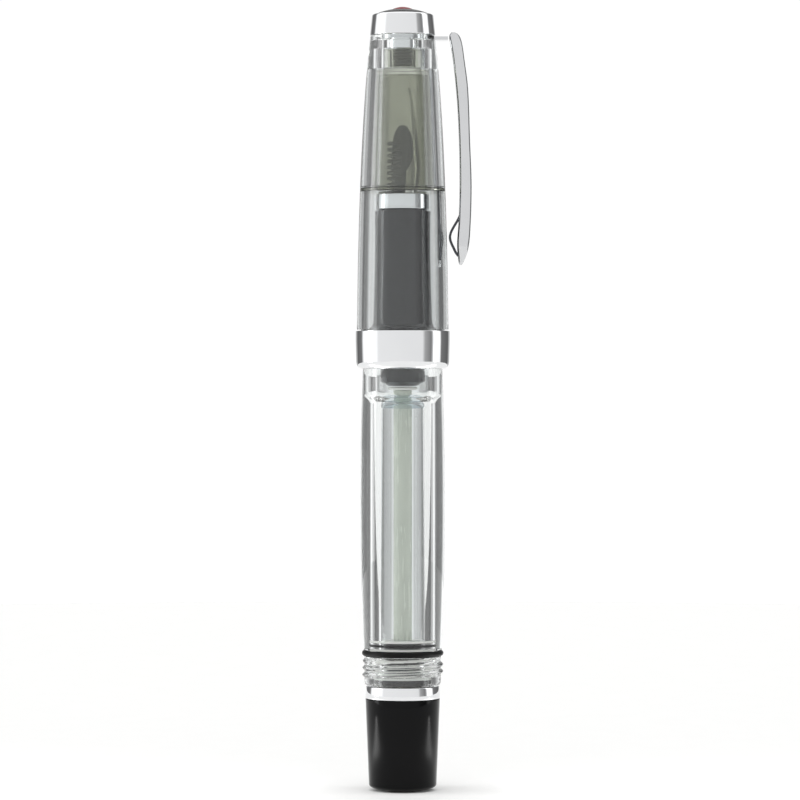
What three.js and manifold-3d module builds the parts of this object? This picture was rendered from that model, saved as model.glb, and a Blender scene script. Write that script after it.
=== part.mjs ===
// A clear vacuum-filling fountain pen, capped, standing on its filler knob.
// Millimetres. The pen's axis is +Z, z = 0 is the flat on the knob's end, and the clip is on the +X side.

import * as THREE from "three";
import { mergeVertices } from "three/addons/utils/BufferGeometryUtils.js";
import Module from "manifold-3d";

const wasm = await Module();
wasm.setup();

// ---------------------------------------------------------------- fits, edges and facets

const SEAT_GAP = 0.2; // between end faces that rest on each other
const FIT_GAP = 0.15; // round a piece that sits or runs in a bore
const SEAL_GAP = 0.08; // round an O-ring or a seal lip
const THREAD_GAP = 0.2; // round a thread crest
const EDGE = 0.15; // small chamfer on an outside edge
const OUTER_SIDES = 28; // facets round the large turned pieces
const INNER_SIDES = 20; // facets round the small ones
const RING_SIDES = 6; // facets round the section of an O-ring
const THREAD_STEPS = 14; // facets in one turn of a thread
const RUN_OUT_STEPS = 4; // facets in which a thread's ends fade out

// ---------------------------------------------------------------- driving dimensions

// plunger rod, button and seal
const ROD_R = 1.5;
const ROD_SEAT_DEPTH = 1.2; // how far the rod's foot goes in the knob's floor
const BUTTON_OVERHANG = 0.9; // button radius beyond the rod's
const BUTTON_THICKNESS = 0.5;
const SEAL_GROOVE_DEPTH = 0.4;
const SEAL_HEIGHT = 1.8;
const SEAL_LIP_HEIGHT = 0.5;
const SEAL_TO_ROD_TOP = 1.0;

// seal housing in the barrel's tail
const ROD_RING_SECTION_R = 0.3; // half thickness of the rod's O-rings
const GLAND_WASHER = 0.6;
const GLAND_WALL = 0.8; // spigot wall round the gland nut
const GLAND_BORE_TOP = 4.5; // above the tail end
const SPIGOT_LENGTH = 8.0; // below the tail end
const HOUSING_HEIGHT = 7.3; // above the tail end
const HOUSING_RING_HEIGHT = 6.4; // above the tail end
const FLANGE_STEP = 1.0; // flange radius beyond the ink chamber's
const FLANGE_THICKNESS = 1.4;
const RING_SECTION_R = 0.42; // half thickness of the two large O-rings

// filler knob
const KNOB_LENGTH = 15.0;
const KNOB_STEP = 0.12; // how much slimmer the knob's top is than the barrel's tail
const KNOB_TAPER = 0.55; // how much slimmer the knob's end is than its top
const KNOB_FLAT_R = 3.0; // the flat it stands on
const KNOB_CROWN = 0.9; // height of the domed end
const KNOB_FLOOR = 3.6; // solid plastic left under the socket
const INSERT_WALL = 1.0;
const TRIM_HEIGHT = 2.1;
const TRIM_STEP = 0.06; // the trim ring stands this much proud of the knob

// barrel
const BARREL_LENGTH = 52.2; // tail end to front shoulder
const BORE_R = 3.6; // ink chamber
const CHAMBER_STEP = 0.7; // widening at the chamber's front end, where the plunger lets go
const CHAMBER_CONE = 2.9; // length of the widening
const TENON_STEP = 0.2; // section tenon radius beyond the widened chamber's
const NECK_WALL = 0.85;
const NECK_LENGTH = 5.6;
const NECK_THREAD_DEPTH = 0.25;
const NECK_THREAD_PITCH = 1.2;
const NECK_THREAD_TURNS = 2.4;
const SHOULDER_STEP = 0.95; // barrel radius at the shoulder beyond the neck's
const SHOULDER_ROUND = 0.6;
const BELLY_RISE = 0.92; // how far the control of the barrel's long curve stands out
const TAIL_WALL = 1.6; // outside the seal housing's flange
const POST_THREAD_START = 0.9; // above the tail end
const POST_THREAD_PITCH = 1.13;
const POST_THREAD_TURNS = 2.6;
const POST_THREAD_DEPTH = 0.42;
const POST_THREAD_STEP = 0.05; // thread root beyond the tail's radius
const POST_RING_HEIGHT = 5.1; // above the tail end

// grip section
const SECTION_REAR_INSET = 0.65; // gap between the section's rear nose and the widened chamber
const SECTION_REAR_LENGTH = 3.4;
const SECTION_REAR_CHAMFER = 0.7;
const SECTION_LENGTH = 18.9; // flange to the trim ring
const SECTION_FLANGE = 0.6;
const SECTION_SEAL_R = 0.2; // half thickness of the section's O-ring
const GRIP_WALL = 0.75; // grip radius beyond the snout's, at the front
const GRIP_TAPER = 0.3;
const SNOUT_WALL = 0.55;
const SECTION_RING_WALL = 0.6;
const SECTION_RING_HEIGHT = 2.6;
const SECTION_RING_LIP = 0.4;
const FEED_HOLE_R = 1.4;

// nib unit
const NIB_REAR_R = 2.4;
const NIB_FIT = 0.25; // room for the nib in its collar, and for the feed in the nib
const NIB_SHEET = 0.3;
const NIB_EXPOSED = 17.2; // beyond the section ring
const NIB_BASE = 9.5; // hidden in the collar
const NIB_SHOULDER_STEP = 0.5; // how much the nib opens out at its shoulder
const NIB_SHOULDER_AT = 3.6; // beyond the section ring
const NIB_TIP_X = 1.3; // how far the tip still stands off the axis
const NIB_TIP_HALF = 0.35;
const SLIT_WIDTH = 0.12;
const BREATHER_R = 0.6;
const BREATHER_AT = 1.6; // beyond the shoulder
const COLLAR_LENGTH = 17.0;
const COLLAR_WALL = 0.4;
const FEED_EXPOSED = 11.2;
const FEED_REAR = 2.0; // feed's rear end, inside the collar's
const FIN_OVERHANG = 0.7; // feed fins beyond the feed's core
const FIN_COUNT = 9;
const FIN_PITCH = 0.95;
const FIN_THICKNESS = 0.4;

// finial
const SCREW_R = 1.5;
const SCREW_SHOULDER = 0.6; // shoulder radius beyond the screw's
const SCREW_HEAD = 1.2;
const FINIAL_HEIGHT = 3.5;
const FINIAL_TAPER = 0.31;
const FINIAL_BEVEL = 0.35;
const FINIAL_LIP = 0.33; // metal left round the dome
const FINIAL_WEB = 0.95; // metal under the screw's head
const DOME_STEP = 0.6; // dome radius beyond the screw head's
const DOME_RISE = 1.1;
const INSET_R = 1.9;

// inner cap
const BOSS_WALL = 1.45; // round the finial screw
const BOSS_HEIGHT = 3.3;
const BOSS_FLOOR = 0.4;
const INNER_CAP_SHOULDER = 1.25; // inner cap's top radius beyond the boss's
const INNER_CAP_WALL = 0.8;
const INNER_CAP_FLANGE = 0.6;
const NIB_ROOM = 2.0; // above the nib's tip
const RIM_GAP = 0.3; // between the section ring and the inner cap's rim
const RIM_OVERLAP = 0.35; // how far the rim covers the section ring's end

// cap
const CAP_WALL = 1.5; // outside the thread bore, just above the band
const CAP_TOP_WALL = 0.84; // outside the inner cap's top
const CAP_CROWN = 2.4; // clear plastic above the inner cap's boss
const CAP_CURVE_INSET = 0.3; // control of the cap's outward curve, inside its lip radius
const CAP_CURVE_AT = 0.64; // how far up that control stands
const CAP_BORE_END = 1.0; // thread bore beyond the barrel's neck
const LEDGE_STEP = 0.28; // bore narrowing between the thread bore and the inner cap's ledge
const LEDGE_WIDTH = 0.52;
const BAND_HEIGHT = 6.2;
const BAND_STEP = 0.2; // the band stands this much proud of the cap
const BAND_OVERHANG = 0.9; // how far the band hangs below the cap's lip
const BAND_WALL = 0.7;
const BAND_THROAT = 2.8; // height at which the band's bore is at full width
const BAND_THROAT_STEP = 0.2; // how much it closes in below that

// clip
const CLIP_SHEET = 0.55;
const CLIP_WASHER_WALL = 1.2;
const CLIP_STRAP_WIDTH = 2.8;
const CLIP_ROOT_INSET = 0.45; // strap's end, inside the arm's stand-off
const CLIP_ROOT_GAP = 0.3; // between the strap's end and the springing arm
const CLIP_RISE = 0.65; // the arm's top above the strap
const CLIP_LENGTH = 37.9; // top of the arm to its tip
const CLIP_STANDOFF = 2.5; // from the cap's side to the arm
const CLIP_DEPTH = 1.9; // of the folded sheet, square to the cap
const CLIP_WIDTH = 3.8;
const CLIP_WALL = 0.45;
const TONGUE_SHEET = 0.4;
const TONGUE_STANDOFF = 0.3; // from the cap's side to the tongue's belly
const TONGUE_GAP = 0.1; // round the tongue, inside the arm

// ---------------------------------------------------------------- radii that follow

const buttonR = ROD_R + BUTTON_OVERHANG;
const rodHoleR = ROD_R + FIT_GAP;
const glandBoreR = ROD_R + 2 * ROD_RING_SECTION_R + THREAD_GAP;
const glandPieceR = glandBoreR - FIT_GAP;
const spigotR = glandBoreR + GLAND_WALL;
const insertR = spigotR + THREAD_GAP + INSERT_WALL;
const socketR = insertR + FIT_GAP;
const flangeR = BORE_R + FLANGE_STEP;
const tailR = flangeR + TAIL_WALL;
const knobTopR = tailR - KNOB_STEP;
const knobEndR = knobTopR - KNOB_TAPER;
const trimR = knobTopR + TRIM_STEP;
const chamberR = BORE_R + CHAMBER_STEP;
const tenonR = chamberR + TENON_STEP;
const tenonBoreR = tenonR + THREAD_GAP;
const neckR = tenonBoreR + NECK_WALL;
const frontR = neckR + SHOULDER_STEP;
const sectionRearR = chamberR - SECTION_REAR_INSET;
const sectionSealFloorR = tenonR - 2 * SECTION_SEAL_R + SEAL_GAP;
const collarBoreR = NIB_REAR_R + NIB_FIT;
const collarR = collarBoreR + COLLAR_WALL;
const collarHoleR = collarR + FIT_GAP;
const snoutR = collarHoleR + SNOUT_WALL;
const sectionRingR = snoutR + SECTION_RING_WALL;
const gripFrontR = snoutR + GRIP_WALL;
const gripRearR = gripFrontR + GRIP_TAPER;
const nibShoulderR = NIB_REAR_R + NIB_SHOULDER_STEP;
const feedR = NIB_REAR_R - NIB_SHEET - NIB_FIT;
const bossR = SCREW_R + FIT_GAP + BOSS_WALL;
const innerTopR = bossR + INNER_CAP_SHOULDER;
const capTopR = innerTopR + FIT_GAP + CAP_TOP_WALL;
const capBoreR = neckR + NECK_THREAD_DEPTH + THREAD_GAP;
const capLipR = capBoreR + CAP_WALL;
const ledgeR = capBoreR - LEDGE_STEP;
const innerSeatR = ledgeR - LEDGE_WIDTH;
const bandR = capLipR + BAND_STEP;
const bandBoreR = bandR - BAND_WALL;
const bandMouthR = frontR + FIT_GAP;
const finialTopR = capTopR - FINIAL_TAPER;
const domeR = finialTopR - FINIAL_BEVEL - FINIAL_LIP - FIT_GAP;
const screwHeadR = domeR - DOME_STEP;
const screwShoulderR = SCREW_R + SCREW_SHOULDER;
const screwHoleR = screwShoulderR + FIT_GAP;
const washerR = screwShoulderR + CLIP_WASHER_WALL;

// ---------------------------------------------------------------- heights along the pen

const trimTop = KNOB_LENGTH + TRIM_HEIGHT;
const rodFoot = KNOB_FLOOR - ROD_SEAT_DEPTH;
const tailEnd = trimTop + SEAT_GAP;
const spigotEnd = tailEnd - SPIGOT_LENGTH;
const glandTop = tailEnd + GLAND_BORE_TOP;
const housingTop = tailEnd + HOUSING_HEIGHT;
const housingRingAt = tailEnd + HOUSING_RING_HEIGHT;
const postRingAt = tailEnd + POST_RING_HEIGHT;
const shoulder = tailEnd + BARREL_LENGTH;
const neckTop = shoulder + NECK_LENGTH;
const sectionRear = shoulder - SECTION_REAR_LENGTH - SEAT_GAP;
const sectionSeat = neckTop + SEAT_GAP;
const flangeTop = sectionSeat + SECTION_FLANGE;
const buttonTop = sectionRear - SEAT_GAP;
const rodTop = buttonTop - BUTTON_THICKNESS - SEAT_GAP / 2;
const sealTop = rodTop - SEAL_TO_ROD_TOP;
const sealBottom = sealTop - SEAL_HEIGHT;
const ringBottom = flangeTop + SECTION_LENGTH;
const ringTop = ringBottom + SECTION_RING_HEIGHT;
const lipBottom = ringTop - SECTION_RING_LIP;
const collarBottom = ringTop - COLLAR_LENGTH;
const nibShoulder = ringTop + NIB_SHOULDER_AT;
const nibTip = ringTop + NIB_EXPOSED;
const innerRim = ringTop + RIM_GAP;
const ledge = innerRim + INNER_CAP_FLANGE + SEAT_GAP;
const innerShoulder = nibTip + NIB_ROOM + INNER_CAP_WALL;
const bossFloor = innerShoulder + BOSS_FLOOR;
const bossTop = innerShoulder + BOSS_HEIGHT;
const capLip = shoulder + SEAT_GAP;
const capTop = bossTop + CAP_CROWN;
const bandBottom = capLip - BAND_OVERHANG;
const bandThroat = bandBottom + BAND_THROAT;
const bandTop = bandBottom + BAND_HEIGHT;
const strapTop = capTop - SEAT_GAP / 2;
const strapBottom = strapTop - CLIP_SHEET;
const strapSeat = strapBottom - SEAT_GAP;
const finialBottom = capTop + SEAT_GAP / 2;
const finialTop = finialBottom + FINIAL_HEIGHT;
const headBottom = finialBottom + FINIAL_WEB + SEAT_GAP;
const headTop = headBottom + SCREW_HEAD;
const domeSeat = headTop + SEAT_GAP;

// ---------------------------------------------------------------- making solids

/** Points on a three-point curve, as [radius, height] pairs, without its first point. */
function bend(from, control, to, steps) {
  const curve = new THREE.QuadraticBezierCurve(
    new THREE.Vector2(...from),
    new THREE.Vector2(...control),
    new THREE.Vector2(...to),
  );
  return curve.getPoints(steps).slice(1).map((point) => [point.x, point.y]);
}

/** A smooth line through [x, z] points. */
function through(points, steps) {
  const curve = new THREE.SplineCurve(points.map(([x, z]) => new THREE.Vector2(x, z)));
  return curve.getPoints(steps).map((point) => [point.x, point.y]);
}

/** A turned piece: its half outline, [radius, height] pairs, revolved about the pen's axis. */
function turned(outline, sides) {
  const points = outline.map(([radius, height]) => new THREE.Vector2(radius, height));
  if (THREE.ShapeUtils.area(points) < 0) points.reverse();
  if (points[0].x > 0) points.push(points[0].clone());
  const geometry = new THREE.LatheGeometry(points, sides);
  geometry.rotateX(Math.PI / 2);
  return geometry;
}

/** A plain tube or washer. */
function tube(innerR, outerR, bottom, top) {
  return turned([[innerR, bottom], [outerR, bottom], [outerR, top], [innerR, top]], INNER_SIDES);
}

/** An O-ring lying across the axis. */
function oRing(middleR, sectionR, height) {
  const geometry = new THREE.TorusGeometry(middleR, sectionR, RING_SIDES, INNER_SIDES);
  geometry.translate(0, 0, height);
  return geometry;
}

/** A closed outline of [x, z] pairs made into a plate of the given width, centred on y = 0. */
function plate(outline, width) {
  const shape = new THREE.Shape(outline.map(([x, z]) => new THREE.Vector2(x, z)));
  const geometry = new THREE.ExtrudeGeometry(shape, { depth: width, bevelEnabled: false });
  geometry.translate(0, 0, -width / 2);
  geometry.rotateX(Math.PI / 2);
  return geometry;
}

/** A box from its lowest to its highest corner. */
function block(low, high) {
  const size = high.map((value, axis) => value - low[axis]);
  const geometry = new THREE.BoxGeometry(...size);
  geometry.translate(...low.map((value, axis) => value + size[axis] / 2));
  return geometry;
}

/** Skins a row of rings with equal corner counts. An end is closed by joining corners across it. */
function lofted(rings) {
  const corners = rings[0].length;
  const last = (rings.length - 1) * corners;
  const faces = [];
  for (let row = 0; row < last; row += corners) {
    for (let corner = 0; corner < corners; corner += 1) {
      const a = row + corner;
      const b = row + ((corner + 1) % corners);
      faces.push(a, b, b + corners, a, b + corners, a + corners);
    }
  }
  for (let near = 0; near < corners / 2 - 1; near += 1) {
    const far = corners - 1 - near;
    faces.push(near, far, far - 1, near, far - 1, near + 1);
    faces.push(last + near, last + far - 1, last + far, last + near, last + near + 1, last + far - 1);
  }
  const geometry = new THREE.BufferGeometry();
  geometry.setAttribute("position", new THREE.Float32BufferAttribute(rings.flat(2), 3));
  geometry.setIndex(faces);
  return geometry;
}

/** A thread start: a ridge wound up a helix, its roots sunk in the wall and its ends run out. */
function threadRidge({ rootR, depth, pitch, turns, start }) {
  const rootHalf = 0.42 * pitch;
  const crestHalf = 0.1 * pitch;
  const steps = Math.round(turns * THREAD_STEPS);
  const sunkR = rootR - depth;
  const rings = [];
  for (let step = 0; step <= steps; step += 1) {
    const angle = (step / THREAD_STEPS) * 2 * Math.PI;
    const height = start + (step / THREAD_STEPS) * pitch;
    const full = Math.min(1, step / RUN_OUT_STEPS, (steps - step) / RUN_OUT_STEPS);
    const crestR = THREE.MathUtils.lerp(rootR - depth / 2, rootR + depth, full);
    const corners = [
      [sunkR, height + rootHalf],
      [crestR, height + crestHalf],
      [crestR, height - crestHalf],
      [sunkR, height - rootHalf],
    ];
    rings.push(corners.map(([r, z]) => [r * Math.cos(angle), r * Math.sin(angle), z]));
  }
  return lofted(rings);
}

/** A closed geometry as a solid that can be cut and joined. */
function solidOf(geometry) {
  const bare = geometry.clone();
  bare.deleteAttribute("normal");
  bare.deleteAttribute("uv");
  const merged = mergeVertices(bare, 1e-4);
  const corners = merged.index.array;
  const faces = [];
  for (let face = 0; face < corners.length; face += 3) {
    const [a, b, c] = corners.slice(face, face + 3);
    if (a !== b && b !== c && c !== a) faces.push(a, b, c);
  }
  const vertProperties = new Float32Array(merged.attributes.position.array);
  const triVerts = new Uint32Array(faces);
  return new wasm.Manifold(new wasm.Mesh({ numProp: 3, vertProperties, triVerts }));
}

/** A solid back as a geometry. */
function geometryOf(solid) {
  const mesh = solid.getMesh();
  const geometry = new THREE.BufferGeometry();
  geometry.setAttribute("position", new THREE.BufferAttribute(mesh.vertProperties, 3));
  geometry.setIndex(new THREE.BufferAttribute(mesh.triVerts, 1));
  geometry.computeVertexNormals();
  return geometry;
}

// ---------------------------------------------------------------- finishes

const FINISHES = {
  clearPlastic: { color: 0xe4e6e7, roughness: 0.05, metalness: 0, transparent: true, opacity: 0.35 },
  smokePlastic: { color: 0x8f9285, roughness: 0.12, metalness: 0, transparent: true, opacity: 0.6 },
  blackPlastic: { color: 0x141414, roughness: 0.15, metalness: 0 },
  mattBlack: { color: 0x1c1c1c, roughness: 0.5, metalness: 0 },
  milkyPlastic: { color: 0xd3d6c8, roughness: 0.35, metalness: 0 },
  whitePlastic: { color: 0xeeeeea, roughness: 0.4, metalness: 0 },
  silicone: { color: 0xdfe4e2, roughness: 0.4, metalness: 0 },
  rubber: { color: 0x0c0c0c, roughness: 0.6, metalness: 0 },
  chrome: { color: 0xe6e7e8, roughness: 0.06, metalness: 1 },
  steel: { color: 0xc9c9c4, roughness: 0.2, metalness: 1 },
  brass: { color: 0xb79a5a, roughness: 0.3, metalness: 1 },
  redResin: { color: 0x5a0d14, roughness: 0.1, metalness: 0 },
};

const group = new THREE.Group();

/** Adds a named piece with a material of its own. */
function add(name, geometry, finish) {
  const mesh = new THREE.Mesh(geometry, new THREE.MeshStandardMaterial(FINISHES[finish]));
  mesh.name = name;
  group.add(mesh);
}

// ---------------------------------------------------------------- filler knob

function fillerKnob() {
  const top = KNOB_LENGTH - SEAT_GAP;
  const crownControl = [knobEndR - EDGE, KNOB_CROWN / 3];
  return turned([
    [0, 0],
    [KNOB_FLAT_R, 0],
    ...bend([KNOB_FLAT_R, 0], crownControl, [knobEndR, KNOB_CROWN], 4),
    [knobTopR, top],
    [socketR, top],
    [socketR, KNOB_FLOOR],
    [rodHoleR, KNOB_FLOOR],
    [rodHoleR, rodFoot - SEAT_GAP],
    [0, rodFoot - SEAT_GAP],
  ], OUTER_SIDES);
}

function knobTrimRing() {
  return turned([
    [socketR, KNOB_LENGTH],
    [trimR - EDGE, KNOB_LENGTH],
    [trimR, KNOB_LENGTH + EDGE],
    [trimR, trimTop - EDGE],
    [trimR - EDGE, trimTop],
    [socketR, trimTop],
  ], OUTER_SIDES);
}

function knobInsert() {
  const threadR = spigotR + THREAD_GAP;
  const bottom = KNOB_FLOOR + SEAT_GAP;
  const top = trimTop - SEAT_GAP;
  return turned([
    [rodHoleR, bottom],
    [insertR, bottom],
    [insertR, top],
    [threadR, top],
    [threadR, spigotEnd - SEAT_GAP],
    [rodHoleR, spigotEnd - SEAT_GAP],
  ], INNER_SIDES);
}

// ---------------------------------------------------------------- plunger

const hubBottom = sealTop - SEAL_HEIGHT / 2;
const grooveFloorR = ROD_R - SEAL_GROOVE_DEPTH;

function plungerRod() {
  const grooveBottom = hubBottom - FIT_GAP;
  const grooveTop = sealTop + FIT_GAP;
  return turned([
    [0, rodFoot],
    [ROD_R, rodFoot],
    [ROD_R, grooveBottom],
    [grooveFloorR, grooveBottom],
    [grooveFloorR, grooveTop],
    [ROD_R, grooveTop],
    [ROD_R, rodTop],
    [0, rodTop],
  ], INNER_SIDES);
}

function plungerButton() {
  const bottom = rodTop + SEAT_GAP / 2;
  return turned([
    [0, bottom],
    [buttonR - EDGE, bottom],
    [buttonR, bottom + EDGE],
    [buttonR - EDGE, buttonTop],
    [0, buttonTop],
  ], INNER_SIDES);
}

/** A silicone cup: a hub snapped in the rod's groove, and a lip that reaches out to the bore. */
function plungerSeal() {
  const lipR = BORE_R - SEAL_GAP;
  const hubR = grooveFloorR + FIT_GAP;
  const bellR = (ROD_R + BORE_R) / 2;
  return turned([
    [hubR, hubBottom],
    [rodHoleR, hubBottom],
    [lipR - FIT_GAP, sealBottom],
    [lipR, sealBottom],
    [lipR, sealBottom + SEAL_LIP_HEIGHT],
    [bellR, sealTop],
    [hubR, sealTop],
  ], INNER_SIDES);
}

// ---------------------------------------------------------------- barrel

const grooveHalf = RING_SECTION_R + SEAL_GAP;
const postRootR = tailR + POST_THREAD_STEP;

function barrelWall() {
  const wallStart = postRingAt + grooveHalf;
  const wallR = postRootR + EDGE;
  const grooveR = tailR - grooveHalf;
  const belly = [frontR + BELLY_RISE, (wallStart + shoulder) / 2];
  const roundStart = shoulder - SHOULDER_ROUND;
  const flangeBoreR = flangeR + FIT_GAP;
  const flangeSeat = tailEnd + FLANGE_THICKNESS + SEAT_GAP;
  const tenonSeat = shoulder - SEAT_GAP;
  const coneBottom = sealBottom - SEAL_LIP_HEIGHT;
  return turned([
    [flangeBoreR, tailEnd],
    [tailR - EDGE, tailEnd],
    [tailR, tailEnd + EDGE],
    [postRootR, tailEnd + POST_THREAD_START],
    [postRootR, postRingAt - grooveHalf],
    [grooveR, postRingAt - grooveHalf],
    [grooveR, wallStart],
    [wallR, wallStart],
    ...bend([wallR, wallStart], belly, [frontR, roundStart], 10),
    [frontR - SHOULDER_ROUND / 2, shoulder],
    [neckR, shoulder],
    [neckR, neckTop - EDGE],
    [neckR - EDGE, neckTop],
    [tenonBoreR, neckTop],
    [tenonBoreR, tenonSeat],
    [chamberR, tenonSeat],
    [chamberR, coneBottom + CHAMBER_CONE],
    [BORE_R, coneBottom],
    [BORE_R, flangeSeat],
    [flangeBoreR, flangeSeat],
  ], OUTER_SIDES);
}

function barrelTube() {
  const postThread = threadRidge({
    rootR: postRootR,
    depth: POST_THREAD_DEPTH,
    pitch: POST_THREAD_PITCH,
    turns: POST_THREAD_TURNS,
    start: tailEnd + POST_THREAD_START + EDGE,
  });
  const neckThread = threadRidge({
    rootR: neckR,
    depth: NECK_THREAD_DEPTH,
    pitch: NECK_THREAD_PITCH,
    turns: NECK_THREAD_TURNS,
    start: shoulder + NECK_THREAD_PITCH,
  });
  return geometryOf(solidOf(barrelWall()).add(solidOf(postThread)).add(solidOf(neckThread)));
}

// ---------------------------------------------------------------- seal housing and its seals

const rodRingR = ROD_R + ROD_RING_SECTION_R + SEAL_GAP;
const upperRingAt = glandTop - SEAT_GAP - ROD_RING_SECTION_R;
const washerTop = upperRingAt - ROD_RING_SECTION_R - SEAT_GAP;
const washerBottom = washerTop - GLAND_WASHER;
const lowerRingAt = washerBottom - SEAT_GAP - ROD_RING_SECTION_R;
const nutTop = lowerRingAt - ROD_RING_SECTION_R - SEAT_GAP;

function sealHousing() {
  const bodyR = BORE_R - FIT_GAP;
  const grooveR = BORE_R - 2 * grooveHalf;
  const flangeEnd = tailEnd + FLANGE_THICKNESS;
  return turned([
    [glandBoreR, spigotEnd],
    [spigotR, spigotEnd],
    [spigotR, tailEnd],
    [flangeR, tailEnd],
    [flangeR, flangeEnd],
    [bodyR, flangeEnd],
    [bodyR, housingRingAt - grooveHalf],
    [grooveR, housingRingAt - grooveHalf],
    [grooveR, housingRingAt + grooveHalf],
    [bodyR, housingRingAt + grooveHalf],
    [bodyR, housingTop],
    [rodHoleR, housingTop],
    [rodHoleR, glandTop],
    [glandBoreR, glandTop],
  ], INNER_SIDES);
}

// ---------------------------------------------------------------- grip section

function gripSection() {
  const holeFloor = collarBottom - SEAT_GAP;
  const grooveBottom = neckTop - 2 * SECTION_SEAL_R - SEAL_GAP;
  const rimR = neckR - EDGE / 2;
  const flareStart = flangeTop - SECTION_FLANGE / 2;
  return turned([
    [FEED_HOLE_R, sectionRear],
    [buttonR, sectionRear],
    [sectionRearR, sectionRear + SECTION_REAR_CHAMFER],
    [sectionRearR, shoulder],
    [tenonR, shoulder],
    [tenonR, grooveBottom],
    [sectionSealFloorR, grooveBottom],
    [sectionSealFloorR, sectionSeat],
    [rimR, sectionSeat],
    [rimR, flareStart],
    ...bend([rimR, flareStart], [gripRearR, flangeTop], [gripRearR, flangeTop + 1], 3),
    [gripFrontR, ringBottom - 1],
    [gripFrontR + EDGE / 2, ringBottom - SEAT_GAP],
    [snoutR, ringBottom - SEAT_GAP],
    [snoutR, lipBottom - SEAT_GAP],
    [collarHoleR, lipBottom - SEAT_GAP],
    [collarHoleR, holeFloor],
    [FEED_HOLE_R, holeFloor],
  ], OUTER_SIDES);
}

function sectionRing() {
  const boreR = snoutR + FIT_GAP;
  return turned([
    [boreR, ringBottom],
    [sectionRingR - EDGE, ringBottom],
    [sectionRingR, ringBottom + EDGE],
    [sectionRingR, ringTop - EDGE],
    [sectionRingR - EDGE, ringTop],
    [collarHoleR, ringTop],
    [collarHoleR, lipBottom],
    [boreR, lipBottom],
  ], OUTER_SIDES);
}

// ---------------------------------------------------------------- nib and feed

/** The nib's outline at a height: its curve's radius, half its width and how far its ridge stands off. */
function nibStation(height) {
  const nearlyHalf = 0.985;
  const opening = THREE.MathUtils.clamp((height - ringTop) / NIB_SHOULDER_AT, 0, 1);
  const toTip = Math.max(0, (height - nibShoulder) / (nibTip - nibShoulder));
  const radius = THREE.MathUtils.lerp(NIB_REAR_R, nibShoulderR, opening);
  const halfWidth = radius * nearlyHalf * (1 - toTip) ** 1.15 + NIB_TIP_HALF * toTip;
  const ridge = THREE.MathUtils.lerp(radius, NIB_TIP_X, toTip ** 1.4);
  return { radius, halfWidth, ridge };
}

/** A crescent across the nib: the outer edge one way, then the inner edge back. */
function nibRing(height) {
  const { radius, halfWidth, ridge } = nibStation(height);
  const reach = Math.asin(halfWidth / radius);
  const segments = 8;
  const edge = (arcR, side) => {
    const points = [];
    for (let step = 0; step <= segments; step += 1) {
      const angle = side * reach * ((2 * step) / segments - 1);
      points.push([ridge - radius + arcR * Math.cos(angle), arcR * Math.sin(angle), height]);
    }
    return points;
  };
  return [...edge(radius, 1), ...edge(radius - NIB_SHEET, -1)];
}

function nib() {
  const heights = [ringTop - NIB_BASE, ringTop, (ringTop + nibShoulder) / 2, nibShoulder];
  const frontSteps = 7;
  for (let step = 1; step <= frontSteps; step += 1) {
    heights.push(THREE.MathUtils.lerp(nibShoulder, nibTip, step / frontSteps));
  }
  const breatherAt = nibShoulder + BREATHER_AT;
  const half = SLIT_WIDTH / 2;
  const slit = block([0, -half, breatherAt], [2 * nibShoulderR, half, nibTip + 1]);
  const hole = new THREE.CylinderGeometry(BREATHER_R, BREATHER_R, 2 * nibShoulderR, 12);
  hole.rotateZ(Math.PI / 2);
  hole.translate(nibShoulderR, 0, breatherAt);
  const blank = solidOf(lofted(heights.map(nibRing)));
  return geometryOf(blank.subtract(solidOf(slit)).subtract(solidOf(hole)));
}

function feed() {
  const rear = collarBottom + FEED_REAR;
  const tip = ringTop + FEED_EXPOSED;
  const noseStart = ringTop + FEED_EXPOSED / 2;
  const core = turned([
    [0, rear],
    [feedR, rear],
    [feedR, noseStart],
    ...bend([feedR, noseStart], [feedR, tip - 1], [feedR / 4, tip], 4),
    [0, tip],
  ], INNER_SIDES);
  const finR = feedR + FIN_OVERHANG;
  const finSide = solidOf(block([-2 * finR, -2 * finR, rear], [-EDGE, 2 * finR, tip]));
  let body = solidOf(core);
  for (let fin = 0; fin < FIN_COUNT; fin += 1) {
    const low = ringTop + FIN_THICKNESS + fin * FIN_PITCH;
    const disc = solidOf(tube(0, finR, low, low + FIN_THICKNESS));
    body = body.add(disc.intersect(finSide));
  }
  return geometryOf(body);
}

// ---------------------------------------------------------------- cap

/** The cap's outside, from just above the band up to its top. */
const capSide = bend(
  [capLipR, bandTop + SEAT_GAP],
  [capLipR - CAP_CURVE_INSET, THREE.MathUtils.lerp(bandTop, capTop, CAP_CURVE_AT)],
  [capTopR, capTop],
  10,
);

/** The cap's outer radius at a height. */
function capRadiusAt(height) {
  const above = capSide.findIndex(([, z]) => z >= height);
  if (above < 0) return capTopR;
  if (above === 0) return capLipR;
  const [lowR, lowZ] = capSide[above - 1];
  const [highR, highZ] = capSide[above];
  return THREE.MathUtils.lerp(lowR, highR, (height - lowZ) / (highZ - lowZ));
}

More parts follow.
